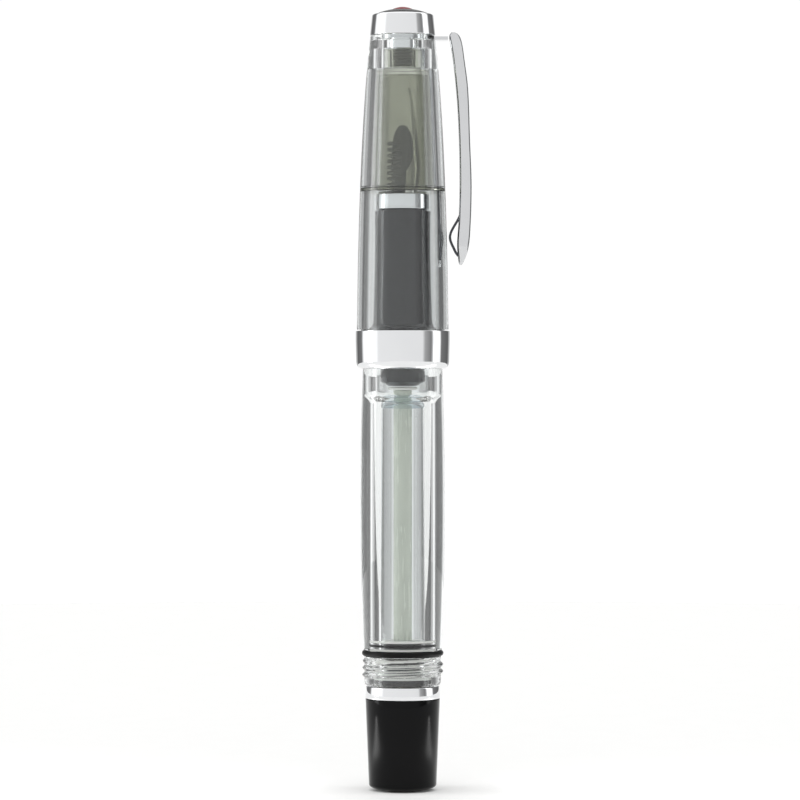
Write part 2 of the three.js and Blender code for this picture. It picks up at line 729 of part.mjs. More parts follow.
function capTube() {
  const lipOuterR = bandBoreR - FIT_GAP;
  const body = turned([
    [capBoreR, capLip],
    [lipOuterR - BAND_THROAT_STEP, capLip],
    [lipOuterR, bandThroat],
    [lipOuterR, bandTop + SEAT_GAP],
    [capLipR, bandTop + SEAT_GAP],
    ...capSide,
    [washerR + FIT_GAP, capTop],
    [washerR + FIT_GAP, strapSeat],
    [screwHoleR, strapSeat],
    [screwHoleR, bossTop + SEAT_GAP],
    [bossR + FIT_GAP, bossTop + SEAT_GAP],
    [bossR + FIT_GAP, innerShoulder + SEAT_GAP],
    [innerTopR + FIT_GAP, innerShoulder + SEAT_GAP],
    [innerSeatR, ledge],
    [ledgeR, ledge],
    [capBoreR, neckTop + CAP_BORE_END],
  ], OUTER_SIDES);
  const slotHalf = CLIP_STRAP_WIDTH / 2 + FIT_GAP;
  const slot = block([0, -slotHalf, strapSeat], [2 * capTopR, slotHalf, capTop + 1]);
  return geometryOf(solidOf(body).subtract(solidOf(slot)));
}

function capBand() {
  const lipR = bandMouthR + EDGE;
  return turned([
    [bandMouthR, bandBottom],
    [lipR, bandBottom],
    ...bend([lipR, bandBottom], [bandR - EDGE, bandBottom + 1], [bandR, bandTop - 1], 5),
    [bandR - EDGE, bandTop],
    [bandBoreR, bandTop],
    [bandBoreR, bandThroat],
    [bandBoreR - BAND_THROAT_STEP, capLip - SEAT_GAP],
    [bandMouthR, capLip - SEAT_GAP],
  ], OUTER_SIDES);
}

function innerCap() {
  return turned([
    [sectionRingR - RIM_OVERLAP, innerRim],
    [ledgeR - FIT_GAP, innerRim],
    [ledgeR - FIT_GAP, innerRim + INNER_CAP_FLANGE],
    [innerSeatR - FIT_GAP, innerRim + INNER_CAP_FLANGE],
    [innerTopR, innerShoulder],
    [bossR, innerShoulder],
    [bossR, bossTop],
    [SCREW_R + FIT_GAP, bossTop],
    [SCREW_R + FIT_GAP, bossFloor],
    [0, bossFloor],
    [0, innerShoulder - INNER_CAP_WALL],
    [innerTopR - INNER_CAP_WALL, innerShoulder - INNER_CAP_WALL],
  ], OUTER_SIDES);
}

// ---------------------------------------------------------------- finial

function finialScrew() {
  return turned([
    [0, bossFloor + SEAT_GAP],
    [SCREW_R, bossFloor + SEAT_GAP],
    [SCREW_R, bossTop + SEAT_GAP],
    [screwShoulderR, bossTop + SEAT_GAP],
    [screwShoulderR, headBottom],
    [screwHeadR, headBottom],
    [screwHeadR, headTop],
    [0, headTop],
  ], INNER_SIDES);
}

function finialRing() {
  const pocketR = screwHeadR + FIT_GAP;
  const mouthR = domeR + FIT_GAP;
  const pocketTop = headTop + SEAT_GAP / 2;
  return turned([
    [screwHoleR, finialBottom],
    [capTopR, finialBottom],
    [finialTopR, finialTop - FINIAL_BEVEL],
    [finialTopR - FINIAL_BEVEL, finialTop],
    [mouthR, finialTop],
    [mouthR, pocketTop],
    [pocketR, pocketTop],
    [pocketR, finialBottom + FINIAL_WEB],
    [screwHoleR, finialBottom + FINIAL_WEB],
  ], OUTER_SIDES);
}

/** Height of the dome's surface at a radius. */
function domeHeight(radius) {
  return finialTop + EDGE + DOME_RISE * (1 - (radius / domeR) ** 2);
}

function finialDome() {
  const pocketR = INSET_R + FIT_GAP;
  const middleR = (domeR + pocketR) / 2;
  return turned([
    [0, domeSeat],
    [domeR, domeSeat],
    [domeR, domeHeight(domeR)],
    [middleR, domeHeight(middleR)],
    [pocketR, domeHeight(pocketR)],
    [pocketR, finialTop],
    [0, finialTop],
  ], INNER_SIDES);
}

function finialInset() {
  const bottom = finialTop + SEAT_GAP;
  return turned([
    [0, bottom],
    [INSET_R, bottom],
    [INSET_R, domeHeight(INSET_R)],
    [INSET_R / 2, domeHeight(INSET_R / 2)],
    [0, domeHeight(0)],
  ], INNER_SIDES);
}

// ---------------------------------------------------------------- clip

const strapEnd = capTopR + CLIP_STANDOFF - CLIP_ROOT_INSET;
const armRootX = strapEnd + CLIP_ROOT_GAP;
const armTop = strapTop + CLIP_RISE;
const armBack = CLIP_STANDOFF + CLIP_DEPTH;

/** A height on the clip, as a share of its length down from the top of the arm. */
const down = (share) => armTop - share * CLIP_LENGTH;

/** A point beside the cap: a height as a share down the clip, and a distance from the cap's side. */
const beside = (share, distance) => [capRadiusAt(down(share)) + distance, down(share)];

function clipWasher() {
  const half = CLIP_STRAP_WIDTH / 2;
  const ring = tube(screwHoleR, washerR, strapBottom, strapTop);
  const strap = block([screwHoleR + FIT_GAP, -half, strapBottom], [strapEnd, half, strapTop]);
  return geometryOf(solidOf(ring).add(solidOf(strap)));
}

/** The arm's long edge towards the cap, from the root down. */
function armInnerEdge() {
  return through([
    [armRootX, strapBottom],
    beside(0.1, CLIP_STANDOFF),
    beside(0.33, CLIP_STANDOFF + 0.13),
    beside(0.63, CLIP_STANDOFF - 0.13),
    beside(0.81, CLIP_STANDOFF - 0.53),
    beside(0.91, CLIP_STANDOFF - 0.88),
    beside(0.985, CLIP_STANDOFF - 0.7),
  ], 16);
}

/** The arm's long edge away from the cap, from the tip up. */
function armOuterEdge() {
  return through([
    beside(1, armBack - 2.2),
    beside(0.978, armBack - 1.6),
    beside(0.935, armBack - 1),
    beside(0.87, armBack - 0.6),
    beside(0.67, armBack - 0.1),
    beside(0.46, armBack),
    beside(0.24, armBack + 0.2),
    beside(0.115, armBack),
    beside(0.03, armBack - 0.65),
    [armRootX + 2 * CLIP_WALL, armTop],
    [armRootX, strapTop + EDGE],
  ], 22);
}

function clipArm() {
  const outer = armOuterEdge();
  const side = plate([...armInnerEdge(), ...outer], CLIP_WIDTH);
  const rootHalf = CLIP_STRAP_WIDTH / 2;
  const bellyHalf = CLIP_WIDTH / 2;
  const rightEdge = [
    [rootHalf, armTop + 1],
    [rootHalf, down(0.06)],
    [0.92 * bellyHalf, down(0.5)],
    [bellyHalf, down(0.85)],
    [0.85 * bellyHalf, down(0.95)],
    [0.5 * bellyHalf, down(1) - EDGE],
  ];
  const leftEdge = rightEdge.map(([y, z]) => [-y, z]).reverse();
  const front = plate([...rightEdge, ...leftEdge], 4 * armRootX);
  front.rotateZ(Math.PI / 2);
  const hollowBack = outer
    .filter(([, z]) => z < down(0.08) && z > down(0.975))
    .map(([x, z]) => [x - CLIP_WALL, z]);
  const hollow = plate([beside(0.08, 0), beside(0.985, 0), ...hollowBack], 2 * (rootHalf - CLIP_WALL));
  return geometryOf(solidOf(side).intersect(solidOf(front)).subtract(solidOf(hollow)));
}

/** The sprung leaf: fixed inside the arm's back, it bulges to the cap and comes back at the tip. */
function clipTongue() {
  const half = TONGUE_SHEET / 2;
  const width = CLIP_STRAP_WIDTH - 2 * (CLIP_WALL + TONGUE_GAP);
  const seat = armBack - CLIP_WALL - TONGUE_GAP - half;
  const belly = TONGUE_STANDOFF + half;
  const route = [
    beside(0.62, seat - 0.1),
    beside(0.69, seat - 0.25),
    beside(0.79, CLIP_STANDOFF - 0.35),
    beside(0.875, belly),
    beside(0.94, belly + 0.75),
    beside(0.962, belly + 1.3),
  ];
  const middle = new THREE.SplineCurve(route.map(([x, z]) => new THREE.Vector2(x, z)));
  const steps = 16;
  const near = [];
  const far = [];
  for (let step = 0; step <= steps; step += 1) {
    const point = middle.getPoint(step / steps);
    const along = middle.getTangent(step / steps);
    near.push([point.x - half * along.y, point.y + half * along.x]);
    far.push([point.x + half * along.y, point.y - half * along.x]);
  }
  return plate([...near, ...far.reverse()], width);
}

// ---------------------------------------------------------------- the pen

const housingOringR = BORE_R - grooveHalf;
const sectionOringR = sectionSealFloorR + SECTION_SEAL_R + SEAL_GAP;
const sectionOringAt = neckTop - SECTION_SEAL_R;
const nutBottom = spigotEnd + SEAT_GAP;

add("filler_knob", fillerKnob(), "blackPlastic");
add("knob_trim_ring", knobTrimRing(), "chrome");
add("knob_thread_insert", knobInsert(), "brass");

add("plunger_rod", plungerRod(), "milkyPlastic");
add("plunger_button", plungerButton(), "whitePlastic");
add("plunger_seal", plungerSeal(), "silicone");

add("barrel_tube", barrelTube(), "clearPlastic");
add("posting_oring", oRing(tailR, RING_SECTION_R, postRingAt), "rubber");
add("seal_housing", sealHousing(), "milkyPlastic");
add("housing_oring", oRing(housingOringR, RING_SECTION_R, housingRingAt), "rubber");
add("rod_oring_upper", oRing(rodRingR, ROD_RING_SECTION_R, upperRingAt), "rubber");
add("rod_seal_washer", tube(rodHoleR, glandPieceR, washerBottom, washerTop), "whitePlastic");
add("rod_oring_lower", oRing(rodRingR, ROD_RING_SECTION_R, lowerRingAt), "rubber");
add("gland_nut", tube(rodHoleR, glandPieceR, nutBottom, nutTop), "brass");

add("grip_section", gripSection(), "blackPlastic");
add("section_oring", oRing(sectionOringR, SECTION_SEAL_R, sectionOringAt), "rubber");
add("section_ring", sectionRing(), "chrome");
add("nib_collar", tube(collarBoreR, collarR, collarBottom, ringTop - SEAT_GAP), "mattBlack");
add("feed", feed(), "mattBlack");
add("nib", nib(), "steel");

add("inner_cap", innerCap(), "smokePlastic");
add("cap_tube", capTube(), "clearPlastic");
add("cap_band", capBand(), "chrome");

add("finial_screw", finialScrew(), "chrome");
add("finial_ring", finialRing(), "chrome");
add("finial_dome", finialDome(), "blackPlastic");
add("finial_inset", finialInset(), "redResin");

add("clip_washer", clipWasher(), "chrome");
add("clip_arm", clipArm(), "chrome");
add("clip_tongue", clipTongue(), "chrome");

export default group;
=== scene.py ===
# %% [markdown]
# # A clear fountain pen, capped and standing on its knob
#
# This pen is a clear "vacuum filler". A milky rod runs through a see-through barrel to a silicone
# cup, and the black knob at the foot pulls it. The cap is clear too, with a smoke-coloured inner cap
# that keeps the nib from drying out. Nearly every part was turned on a lathe or moulded round, so
# nearly every part here is an outline revolved about the pen's axis. The lesson goes from the foot
# up: first the shapes, then the finishes, then the light, which matters most on clear plastic.

# %% Load the frame
import math

import bmesh
import bpy
from mathutils import Matrix, Vector, geometry


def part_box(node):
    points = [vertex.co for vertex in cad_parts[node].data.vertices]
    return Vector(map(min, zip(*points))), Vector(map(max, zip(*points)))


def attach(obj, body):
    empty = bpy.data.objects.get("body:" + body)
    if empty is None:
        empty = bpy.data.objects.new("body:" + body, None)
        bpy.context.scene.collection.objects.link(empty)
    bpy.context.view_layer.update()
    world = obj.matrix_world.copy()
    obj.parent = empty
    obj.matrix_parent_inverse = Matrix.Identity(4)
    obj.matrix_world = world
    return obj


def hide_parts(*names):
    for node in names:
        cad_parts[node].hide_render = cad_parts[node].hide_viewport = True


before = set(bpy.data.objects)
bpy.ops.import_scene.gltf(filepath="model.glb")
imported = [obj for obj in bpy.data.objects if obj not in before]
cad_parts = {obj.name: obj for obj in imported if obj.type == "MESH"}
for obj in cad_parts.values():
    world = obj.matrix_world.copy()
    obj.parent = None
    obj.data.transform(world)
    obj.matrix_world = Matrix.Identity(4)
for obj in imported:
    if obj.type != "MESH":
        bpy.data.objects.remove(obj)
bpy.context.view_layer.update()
MM = 0.001
TURN = 2 * math.pi

# %% [markdown]
# ## Heights and radii
#
# The sizes come from the CAD pieces, so the looks always fit them. `low`, `high` and `reach` read a
# CAD piece in millimetres: its lowest and highest point, and its outside radius.


# %% Read the CAD pieces
def low(node):
    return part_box(node)[0].z / MM


def high(node):
    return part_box(node)[1].z / MM


def reach(node):
    return -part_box(node)[0].x / MM


tail_end, neck_top = low("barrel_tube"), high("barrel_tube")
ring_bottom, ring_top = low("section_ring"), high("section_ring")
band_bottom, band_top = low("cap_band"), high("cap_band")
inner_rim, boss_top = low("inner_cap"), high("inner_cap")
cap_lip, cap_top = low("cap_tube"), high("cap_tube")
strap_bottom, strap_top = low("clip_washer"), high("clip_washer")
rod_r, bore_r, shoulder = 1.5, 3.6, cap_lip - 0.2
rod_hole_r = rod_r + 0.15
print(f"barrel {tail_end:.1f} to {neck_top:.1f} mm, cap {cap_lip:.1f} to {cap_top:.1f} mm")

# %% [markdown]
# ## Turning
#
# A lathe makes a shape by its outline alone. `soften` puts a small round on every corner of an
# outline, because a real edge is never perfectly sharp and its thin highlight is what makes it look
# real. `revolve` spins the outline into a closed mesh. A modifier could do both, but plain mesh code
# keeps the points on the axis single, so the poles close.


# %% Outlines
def soften(outline, radius):
    """Rounds the corners of a closed outline of (radius, height) pairs that lie off the axis."""
    points = []
    count = len(outline)
    for place, corner in enumerate(outline):
        here = Vector(corner)
        back = Vector(outline[place - 1]) - here
        ahead = Vector(outline[(place + 1) % count]) - here
        sharp = back.length and ahead.length and back.angle(ahead) < math.radians(155)
        if corner[0] < 1e-6 or not sharp:
            points.append(tuple(here))
            continue
        cut = min(radius, 0.45 * back.length, 0.45 * ahead.length)
        start, end = here + back.normalized() * cut, here + ahead.normalized() * cut
        arc = geometry.interpolate_bezier(start, here.lerp(start, 0.4), here.lerp(end, 0.4), end, 5)
        points.extend(tuple(point) for point in arc)
    return points


def bow(start, control, end, steps):
    """Points on a three-point curve, without its first point."""
    start, control, end = Vector(start), Vector(control), Vector(end)
    shares = [step / steps for step in range(1, steps + 1)]
    return [tuple(start.lerp(control, s).lerp(control.lerp(end, s), s)) for s in shares]


print("a square with softened corners has", len(soften([(1, 0), (2, 0), (2, 1), (1, 1)], 0.1)), "points")

# %% [markdown]
# `revolve` walks round the axis and joins each ring of points to the next. Every mesh then goes through
# `mesh_from`, which merges doubles first and turns the normals outwards after, because open seams give
# clear plastic false dark lines.

# %% Revolving an outline
CREASE = math.radians(38)


def revolve(name, outline, sides=128):
    """A closed mesh: the outline spun about the pen's axis. Points on the axis stay single."""
    shape = bmesh.new()
    rings = []
    for radius, height in outline:
        turns = [0] if radius < 1e-6 else [TURN * side / sides for side in range(sides)]
        rings.append([
            shape.verts.new((radius * math.cos(a) * MM, radius * math.sin(a) * MM, height * MM))
            for a in turns
        ])
    for lower, upper in zip(rings, rings[1:] + rings[:1]):
        for side in range(sides):
            after = (side + 1) % sides
            corners = [
                lower[side % len(lower)], lower[after % len(lower)],
                upper[after % len(upper)], upper[side % len(upper)],
            ]
            corners = list(dict.fromkeys(corners))
            if len(corners) > 2:
                shape.faces.new(corners)
    return mesh_from(name, shape)


def mesh_from(name, shape):
    """Merges doubles, turns the faces outwards and shades smooth except at real edges."""
    bmesh.ops.remove_doubles(shape, verts=shape.verts, dist=1e-7)
    bmesh.ops.recalc_face_normals(shape, faces=shape.faces)
    mesh = bpy.data.meshes.new(name)
    shape.to_mesh(mesh)
    shape.free()
    shade_edges(mesh)
    return mesh


def shade_edges(mesh):
    """Smooth shading, with a crisp line at every fold sharper than the crease angle."""
    mesh.shade_smooth()
    mesh.set_sharp_from_angle(angle=CREASE)


# %% [markdown]
# ## Node helper and Geometry Nodes helper
#
# One small function adds a node, gives it its settings and links its inputs. `grown` runs a node
# tree as a modifier on a piece, reads the result back as a plain mesh and drops the modifier, so
# that what is left is ordinary geometry.


# %% Helpers for nodes
def add_node(tree, kind, links=None, **settings):
    """Adds a node with its settings. A link is a socket, a node (its first output) or a value."""
    node = tree.nodes.new(kind)
    for key, value in settings.items():
        setattr(node, key, value)
    for key, value in (links or {}).items():
        source = value.outputs[0] if isinstance(value, bpy.types.Node) else value
        if isinstance(source, bpy.types.NodeSocket):
            tree.links.new(source, node.inputs[key])
        else:
            node.inputs[key].default_value = source
    return node


def new_tree(name, sizes):
    """An empty geometry tree with a geometry input, and one named number input for each size."""
    tree = bpy.data.node_groups.new(name, "GeometryNodeTree")
    tree.interface.new_socket("Geometry", in_out="INPUT", socket_type="NodeSocketGeometry")
    tree.interface.new_socket("Geometry", in_out="OUTPUT", socket_type="NodeSocketGeometry")
    tree.interface.new_socket("Finish", in_out="INPUT", socket_type="NodeSocketMaterial")
    for size in sizes:
        tree.interface.new_socket(size, in_out="INPUT", socket_type="NodeSocketFloat")
    return tree, tree.nodes.new("NodeGroupInput").outputs


def close_tree(tree, result, finish):
    """Every tree ends in plain geometry that carries its finish."""
    real = add_node(tree, "GeometryNodeRealizeInstances", {"Geometry": result})
    painted = add_node(tree, "GeometryNodeSetMaterial", {"Geometry": real, "Material": finish})
    add_node(tree, "NodeGroupOutput", {"Geometry": painted})
    print(f"{tree.name} tree: {len(tree.nodes)} nodes")


def grown(mesh, tree, finish, sizes):
    """Runs the tree on the mesh with these sizes and returns the plain mesh that comes out."""
    holder = bpy.data.objects.new("grown", mesh)
    bpy.context.scene.collection.objects.link(holder)
    modifier = holder.modifiers.new("grow", "NODES")
    modifier.node_group = tree
    sockets = {item.name: item.identifier for item in tree.interface.items_tree}
    modifier[sockets["Finish"]] = finish
    for size, value in sizes.items():
        modifier[sockets[size]] = float(value)
    seen = holder.evaluated_get(bpy.context.evaluated_depsgraph_get())
    result = bpy.data.meshes.new_from_object(seen)
    bpy.data.objects.remove(holder)
    result.name = mesh.name
    shade_edges(result)
    return result


# %% [markdown]
# ## Finishes
#
# Each finish is named for the real material and how it was made. All start from the same two facts:
# a fine grain, which comes from the mould or the polishing wheel, and broad smudges left by hands.
# Grain gives the bump, smudges vary the gloss. Scanned samples of each material would also do, but noise
# worked out from the object's own coordinates has no seams and can be set to a real size. A metal keeps
# its default index of refraction.


# %% One function for colours, one for surfaces
def linear(code):
    """An sRGB hex colour as the linear values that Blender works in."""
    parts = [int(code[place:place + 2], 16) / 255 for place in (1, 3, 5)]
    return [p / 12.92 if p < 0.04045 else ((p + 0.055) / 1.055) ** 2.4 for p in parts] + [1]


def surface(name, code, shade, gloss, grain_mm, bump_mm, stretch=(1, 1, 1), **shader):
    """A finish: colour with its darker shade, gloss range, and a grain of real size and depth."""
    material = bpy.data.materials.new(name)
    material.use_nodes = True
    tree = material.node_tree
    base = tree.nodes["Principled BSDF"]
    for socket, value in shader.items():
        base.inputs[socket.replace("_", " ")].default_value = value
    place = add_node(tree, "ShaderNodeTexCoord").outputs["Object"]
    drawn = add_node(tree, "ShaderNodeMapping", {"Vector": place, "Scale": stretch})
    grain = add_node(tree, "ShaderNodeTexNoise", {"Vector": drawn, "Scale": 1 / (grain_mm * MM)})
    smudge = add_node(tree, "ShaderNodeTexNoise", {"Vector": place, "Scale": 1 / (7 * MM), "Detail": 3})
    mixed = add_node(tree, "ShaderNodeMath", {0: grain, 1: smudge}, operation="MULTIPLY")
    rough = add_node(tree, "ShaderNodeMapRange", {
        "Value": mixed, "From Min": 0.1, "From Max": 0.45, "To Min": gloss[0], "To Max": gloss[1],
    })
    tone = add_node(tree, "ShaderNodeMix", {
        "Factor": smudge, 6: linear(code), 7: linear(shade),
    }, data_type="RGBA")
    bump = add_node(tree, "ShaderNodeBump", {"Height": grain, "Distance": bump_mm * MM, "Strength": 0.5})
    tree.links.new(tone.outputs[2], base.inputs["Base Color"])
    tree.links.new(rough.outputs[0], base.inputs["Roughness"])
    tree.links.new(bump.outputs[0], base.inputs["Normal"])
    return material


print("a middle grey, #808080, is", round(linear("#808080")[0], 3), "in linear light")

# %% [markdown]
# The clear parts are polished acrylic: an index of 1.49 bends light enough to draw the grey lines
# along their edges. The smoke inner cap and the milky rod let light in but scatter or swallow it.

# %% Plastics
# Polished acrylic is clear but bends light hard, so its edges draw grey lines. A slight tint keeps it
# from vanishing in front of white.
clear_plastic = surface(
    "clear_acrylic_polished", "#F1F3F3", "#EDF0F0", (0.0, 0.03), 0.6, 0.0004,
    IOR=1.49, Transmission_Weight=1.0, Specular_IOR_Level=0.5,
)
# Smoke acrylic darkens with each wall. A low index keeps the thin cup calm inside the clear cap.
smoke_plastic = surface(
    "smoke_acrylic_moulded", "#D4D5C8", "#CDCEC0", (0.03, 0.08), 0.5, 0.001,
    IOR=1.3, Transmission_Weight=0.88, Specular_IOR_Level=0.4,
)
# Extruded polypropylene is drawn along its length: soft, milky and a little green.
milky_plastic = surface(
    "milky_polypropylene_extruded", "#E2E7DB", "#D9DFD2", (0.2, 0.32), 0.35, 0.004,
    stretch=(1, 1, 0.05), IOR=1.45, Transmission_Weight=0.15,
)
# Turned acetal is dense and white, with fine rings from the tool.
white_plastic = surface(
    "white_acetal_turned", "#F2F2EE", "#E9E9E4", (0.3, 0.42), 0.3, 0.004, stretch=(0.05, 0.05, 1),
)
# Wet silicone nearly vanishes against the ink chamber, so its index is set close to its surroundings.
silicone = surface(
    "silicone_moulded", "#F1F6F8", "#E8F0F4", (0.04, 0.1), 0.4, 0.001,
    IOR=1.14, Transmission_Weight=0.97,
)
# Polished black resin is almost mirror smooth but reflects little.
black_gloss = surface(
    "black_resin_polished", "#050506", "#080809", (0.02, 0.06), 0.4, 0.0003,
    Specular_IOR_Level=0.13,
)
# The finial dome is tumbled, which softens its shine.
black_satin = surface(
    "black_resin_satin", "#050506", "#080809", (0.22, 0.32), 0.4, 0.001, Specular_IOR_Level=0.08,
)
# The moulded section is a shade lighter, with a gentle gloss from handling.
black_section = surface(
    "black_resin_moulded", "#202124", "#26272A", (0.12, 0.2), 0.4, 0.001,
)
# The feed is matt, so that ink clings to it.
black_matt = surface("black_abs_moulded", "#1A1A1A", "#222222", (0.42, 0.6), 0.25, 0.006)
# Nitrile rubber is the deepest black, with a dull sheen.
rubber = surface(
    "nitrile_rubber_moulded", "#040404", "#080808", (0.35, 0.5), 0.2, 0.004, Specular_IOR_Level=0.15,
)
# Cast red resin is deep and slightly cloudy.
red_resin = surface(
    "red_resin_cast", "#94081A", "#6A0812", (0.2, 0.3), 0.5, 0.001, Specular_IOR_Level=0.08,
)
print("plastics made:", len(bpy.data.materials), "materials so far")

# %% [markdown]
# Chrome plate mirrors the studio, with hardly any grain. The nib is rolled steel polished along its
# length, so its grain is drawn out. The finest polishing lines are far too thin to show and are drawn
# coarser here.

# %% Metals
# Chrome plate over polished brass: a clean mirror.
chrome = surface(
    "chrome_plate_polished", "#EDEEEF", "#E6E7E9", (0.03, 0.08), 0.5, 0.0006, Metallic=1.0,
)
# The clip is plated after folding, so it is a little duller.
clip_chrome = surface(
    "chrome_plate_on_folded_sheet", "#DDDEDF", "#D2D3D5", (0.05, 0.12), 0.6, 0.001, Metallic=1.0,
)
# Brushed stainless steel blurs what it mirrors along the nib.
steel = surface(
    "stainless_steel_brushed", "#D2D2CD", "#C6C6C0", (0.16, 0.26), 0.2, 0.003,
    stretch=(1, 1, 0.04), Metallic=1.0,
)
# The tongue's steel is darkened as painted shade: a dark mirror, which draws the tongue as a thin dark line.
steel_painted_dark = surface(
    "steel_painted_dark_for_shade", "#4A4C50", "#3C3E43", (0.12, 0.22), 0.2, 0.003,
    stretch=(1, 1, 0.04), Metallic=1.0,
)
# Turned brass shows warm rings.
brass = surface(
    "brass_turned", "#C2A05C", "#B39150", (0.2, 0.32), 0.2, 0.004, stretch=(0.04, 0.04, 1), Metallic=1.0,
)
print("finishes:", len(bpy.data.materials))

# %% [markdown]
# ## Putting a piece in place
#
# Every finished piece rides on one CAD body and stands for the CAD pieces it replaces.


# %% Place a piece
def place_piece(name, mesh, material, body, slot, *nodes):
    mesh.materials.clear()
    mesh.materials.append(material)
    for face in mesh.polygons:
        face.material_index = 0
    piece = bpy.data.objects.new(name, mesh)
    bpy.context.scene.collection.objects.link(piece)
    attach(piece, body)
    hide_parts(*nodes)
    print(f"{name}: {len(mesh.polygons)} faces on {body}")
    return piece


def turn_piece(name, outline, edge, material, body, slot, *nodes, sides=128):
    return place_piece(name, revolve(name, soften(outline, edge), sides), material, body, slot, *nodes)


# %% [markdown]
# ## The filler knob
#
# A turned black knob, slightly narrower at its foot, with a shallow dome that ends in a small flat.
# It is hollow above: a socket takes the threaded insert, and a hole in its floor holds the rod. Its top
# meets the chrome ring, so that no brass shows between them. A scaled cylinder with a bevel would give
# the taper but not the dome or the socket. One outline gives all three.

# %% Knob and trim ring
knob_top, knob_top_r = low("knob_trim_ring") - 0.01, reach("knob_trim_ring") - 0.06
knob_end_r, socket_r = knob_top_r - 0.55, 4.45
foot_flat_r, socket_floor, rod_seat = 3.0, 3.6, 2.2
knob_dome = bow((foot_flat_r, 0), (knob_end_r - 0.1, 0.25), (knob_end_r, 0.95), 12)
turn_piece(
    "knob", [
        (0, 0), (foot_flat_r, 0), *knob_dome, (knob_top_r, knob_top), (socket_r, knob_top),
        (socket_r, socket_floor), (rod_hole_r, socket_floor), (rod_hole_r, rod_seat), (0, rod_seat),
    ], 0.12, black_gloss, "knob_body", "black_gloss_resin", "filler_knob",
)
trim_bottom, trim_top, trim_r = low("knob_trim_ring"), high("knob_trim_ring"), reach("knob_trim_ring")
turn_piece(
    "trim_ring", [
        (socket_r, trim_bottom), (trim_r, trim_bottom), (trim_r - 0.15, trim_top), (socket_r, trim_top),
    ], 0.22, chrome, "knob_body", "chrome_plate", "knob_trim_ring",
)

# %% [markdown]
# ## The plunger
#
# The rod is a plain milky bar with a groove for the cup. The cup is moulded silicone: a hub in the
# groove and a thin lip that wipes the bore. A white button keeps it on the rod. Cloth or soft-body
# tools could press the lip against the bore, but it fits snugly as moulded, so it is turned to size.

# %% Rod, button and cup
rod_top, cup_bottom, cup_top = high("plunger_rod"), low("plunger_seal"), high("plunger_seal")
groove, groove_r, hub_r = (cup_bottom + 0.75, cup_top + 0.15), 1.1, 1.25
hub_bottom = cup_bottom + 0.9
turn_piece(
    "rod", [
        (0, low("plunger_rod")), (rod_r, low("plunger_rod")), (rod_r, groove[0]), (groove_r, groove[0]),
        (groove_r, groove[1]), (rod_r, groove[1]), (rod_r, rod_top), (0, rod_top),
    ], 0.1, milky_plastic, "plunger_body", "milky_plastic", "plunger_rod",
)
button_bottom, button_top = low("plunger_button"), high("plunger_button")
turn_piece(
    "button", [(0, button_bottom), (2.4, button_bottom), (2.4, button_top), (0, button_top)],
    0.16, white_plastic, "plunger_body", "white_plastic", "plunger_button",
)
turn_piece(
    "seal_cup", [
        (hub_r, hub_bottom), (1.65, hub_bottom),
        *bow((1.65, hub_bottom), (2.9, cup_bottom + 0.8), (3.37, cup_bottom), 8),
        (3.5, cup_bottom), (3.52, cup_bottom + 0.5),
        *bow((3.52, cup_bottom + 0.5), (3.3, cup_top - 0.3), (2.55, cup_top), 8), (hub_r, cup_top),
    ], 0.05, silicone, "plunger_body", "clear_silicone", "plunger_seal",
)

# %% [markdown]
# ## A thread as a rule
#
# A thread could be a swept ridge joined to the tube, but two clear solids that overlap bend light
# wrongly. Here the tube's own wall is moved instead. At each point the tree works out how many turns
# it lies above the start of the thread. The crest is where that number is whole, so the wall is
# pushed out by a rounded wave of it, and the two ends of the thread fade away over a quarter turn.

# %% The thread tree
thread_tree, size = new_tree("thread", ["Root", "Depth", "Pitch", "Turns", "Start"])
spot = add_node(thread_tree, "ShaderNodeSeparateXYZ", {0: add_node(thread_tree, "GeometryNodeInputPosition")})
flat = add_node(thread_tree, "ShaderNodeCombineXYZ", {"X": spot.outputs["X"], "Y": spot.outputs["Y"]})
outward = add_node(thread_tree, "ShaderNodeVectorMath", {0: flat}, operation="NORMALIZE")
radius = add_node(thread_tree, "ShaderNodeVectorMath", {0: flat}, operation="LENGTH").outputs["Value"]
angle = add_node(thread_tree, "ShaderNodeMath", {
    0: spot.outputs["Y"], 1: spot.outputs["X"],
}, operation="ARCTAN2")
share = add_node(thread_tree, "ShaderNodeMath", {0: angle, 1: TURN}, operation="DIVIDE")
above = add_node(thread_tree, "ShaderNodeMath", {
    0: spot.outputs["Z"], 1: size["Start"],
}, operation="SUBTRACT")
steps = add_node(thread_tree, "ShaderNodeMath", {0: above, 1: size["Pitch"]}, operation="DIVIDE")
count = add_node(thread_tree, "ShaderNodeMath", {0: steps, 1: share}, operation="SUBTRACT")
whole = add_node(thread_tree, "ShaderNodeMath", {0: count}, operation="ROUND")
off_crest = add_node(thread_tree, "ShaderNodeMath", {0: count, 1: whole}, operation="SUBTRACT")
wave = add_node(thread_tree, "ShaderNodeMath", {
    0: add_node(thread_tree, "ShaderNodeMath", {0: off_crest, 1: TURN}, operation="MULTIPLY"),
}, operation="COSINE")
crest = add_node(thread_tree, "ShaderNodeMapRange", {"Value": wave, "From Min": -0.8, "From Max": 0.9})
along = add_node(thread_tree, "ShaderNodeMath", {0: whole, 1: share}, operation="ADD")
left = add_node(thread_tree, "ShaderNodeMath", {0: size["Turns"], 1: along}, operation="SUBTRACT")
fade_in = add_node(thread_tree, "ShaderNodeMapRange", {"Value": along, "From Max": 0.25})
fade_out = add_node(thread_tree, "ShaderNodeMapRange", {"Value": left, "From Max": 0.25})
outside = add_node(thread_tree, "ShaderNodeMath", {0: radius, 1: size["Root"]}, operation="GREATER_THAN")
amount = size["Depth"]
for factor in (crest, fade_in, fade_out, outside):
    amount = add_node(thread_tree, "ShaderNodeMath", {0: amount, 1: factor}, operation="MULTIPLY")
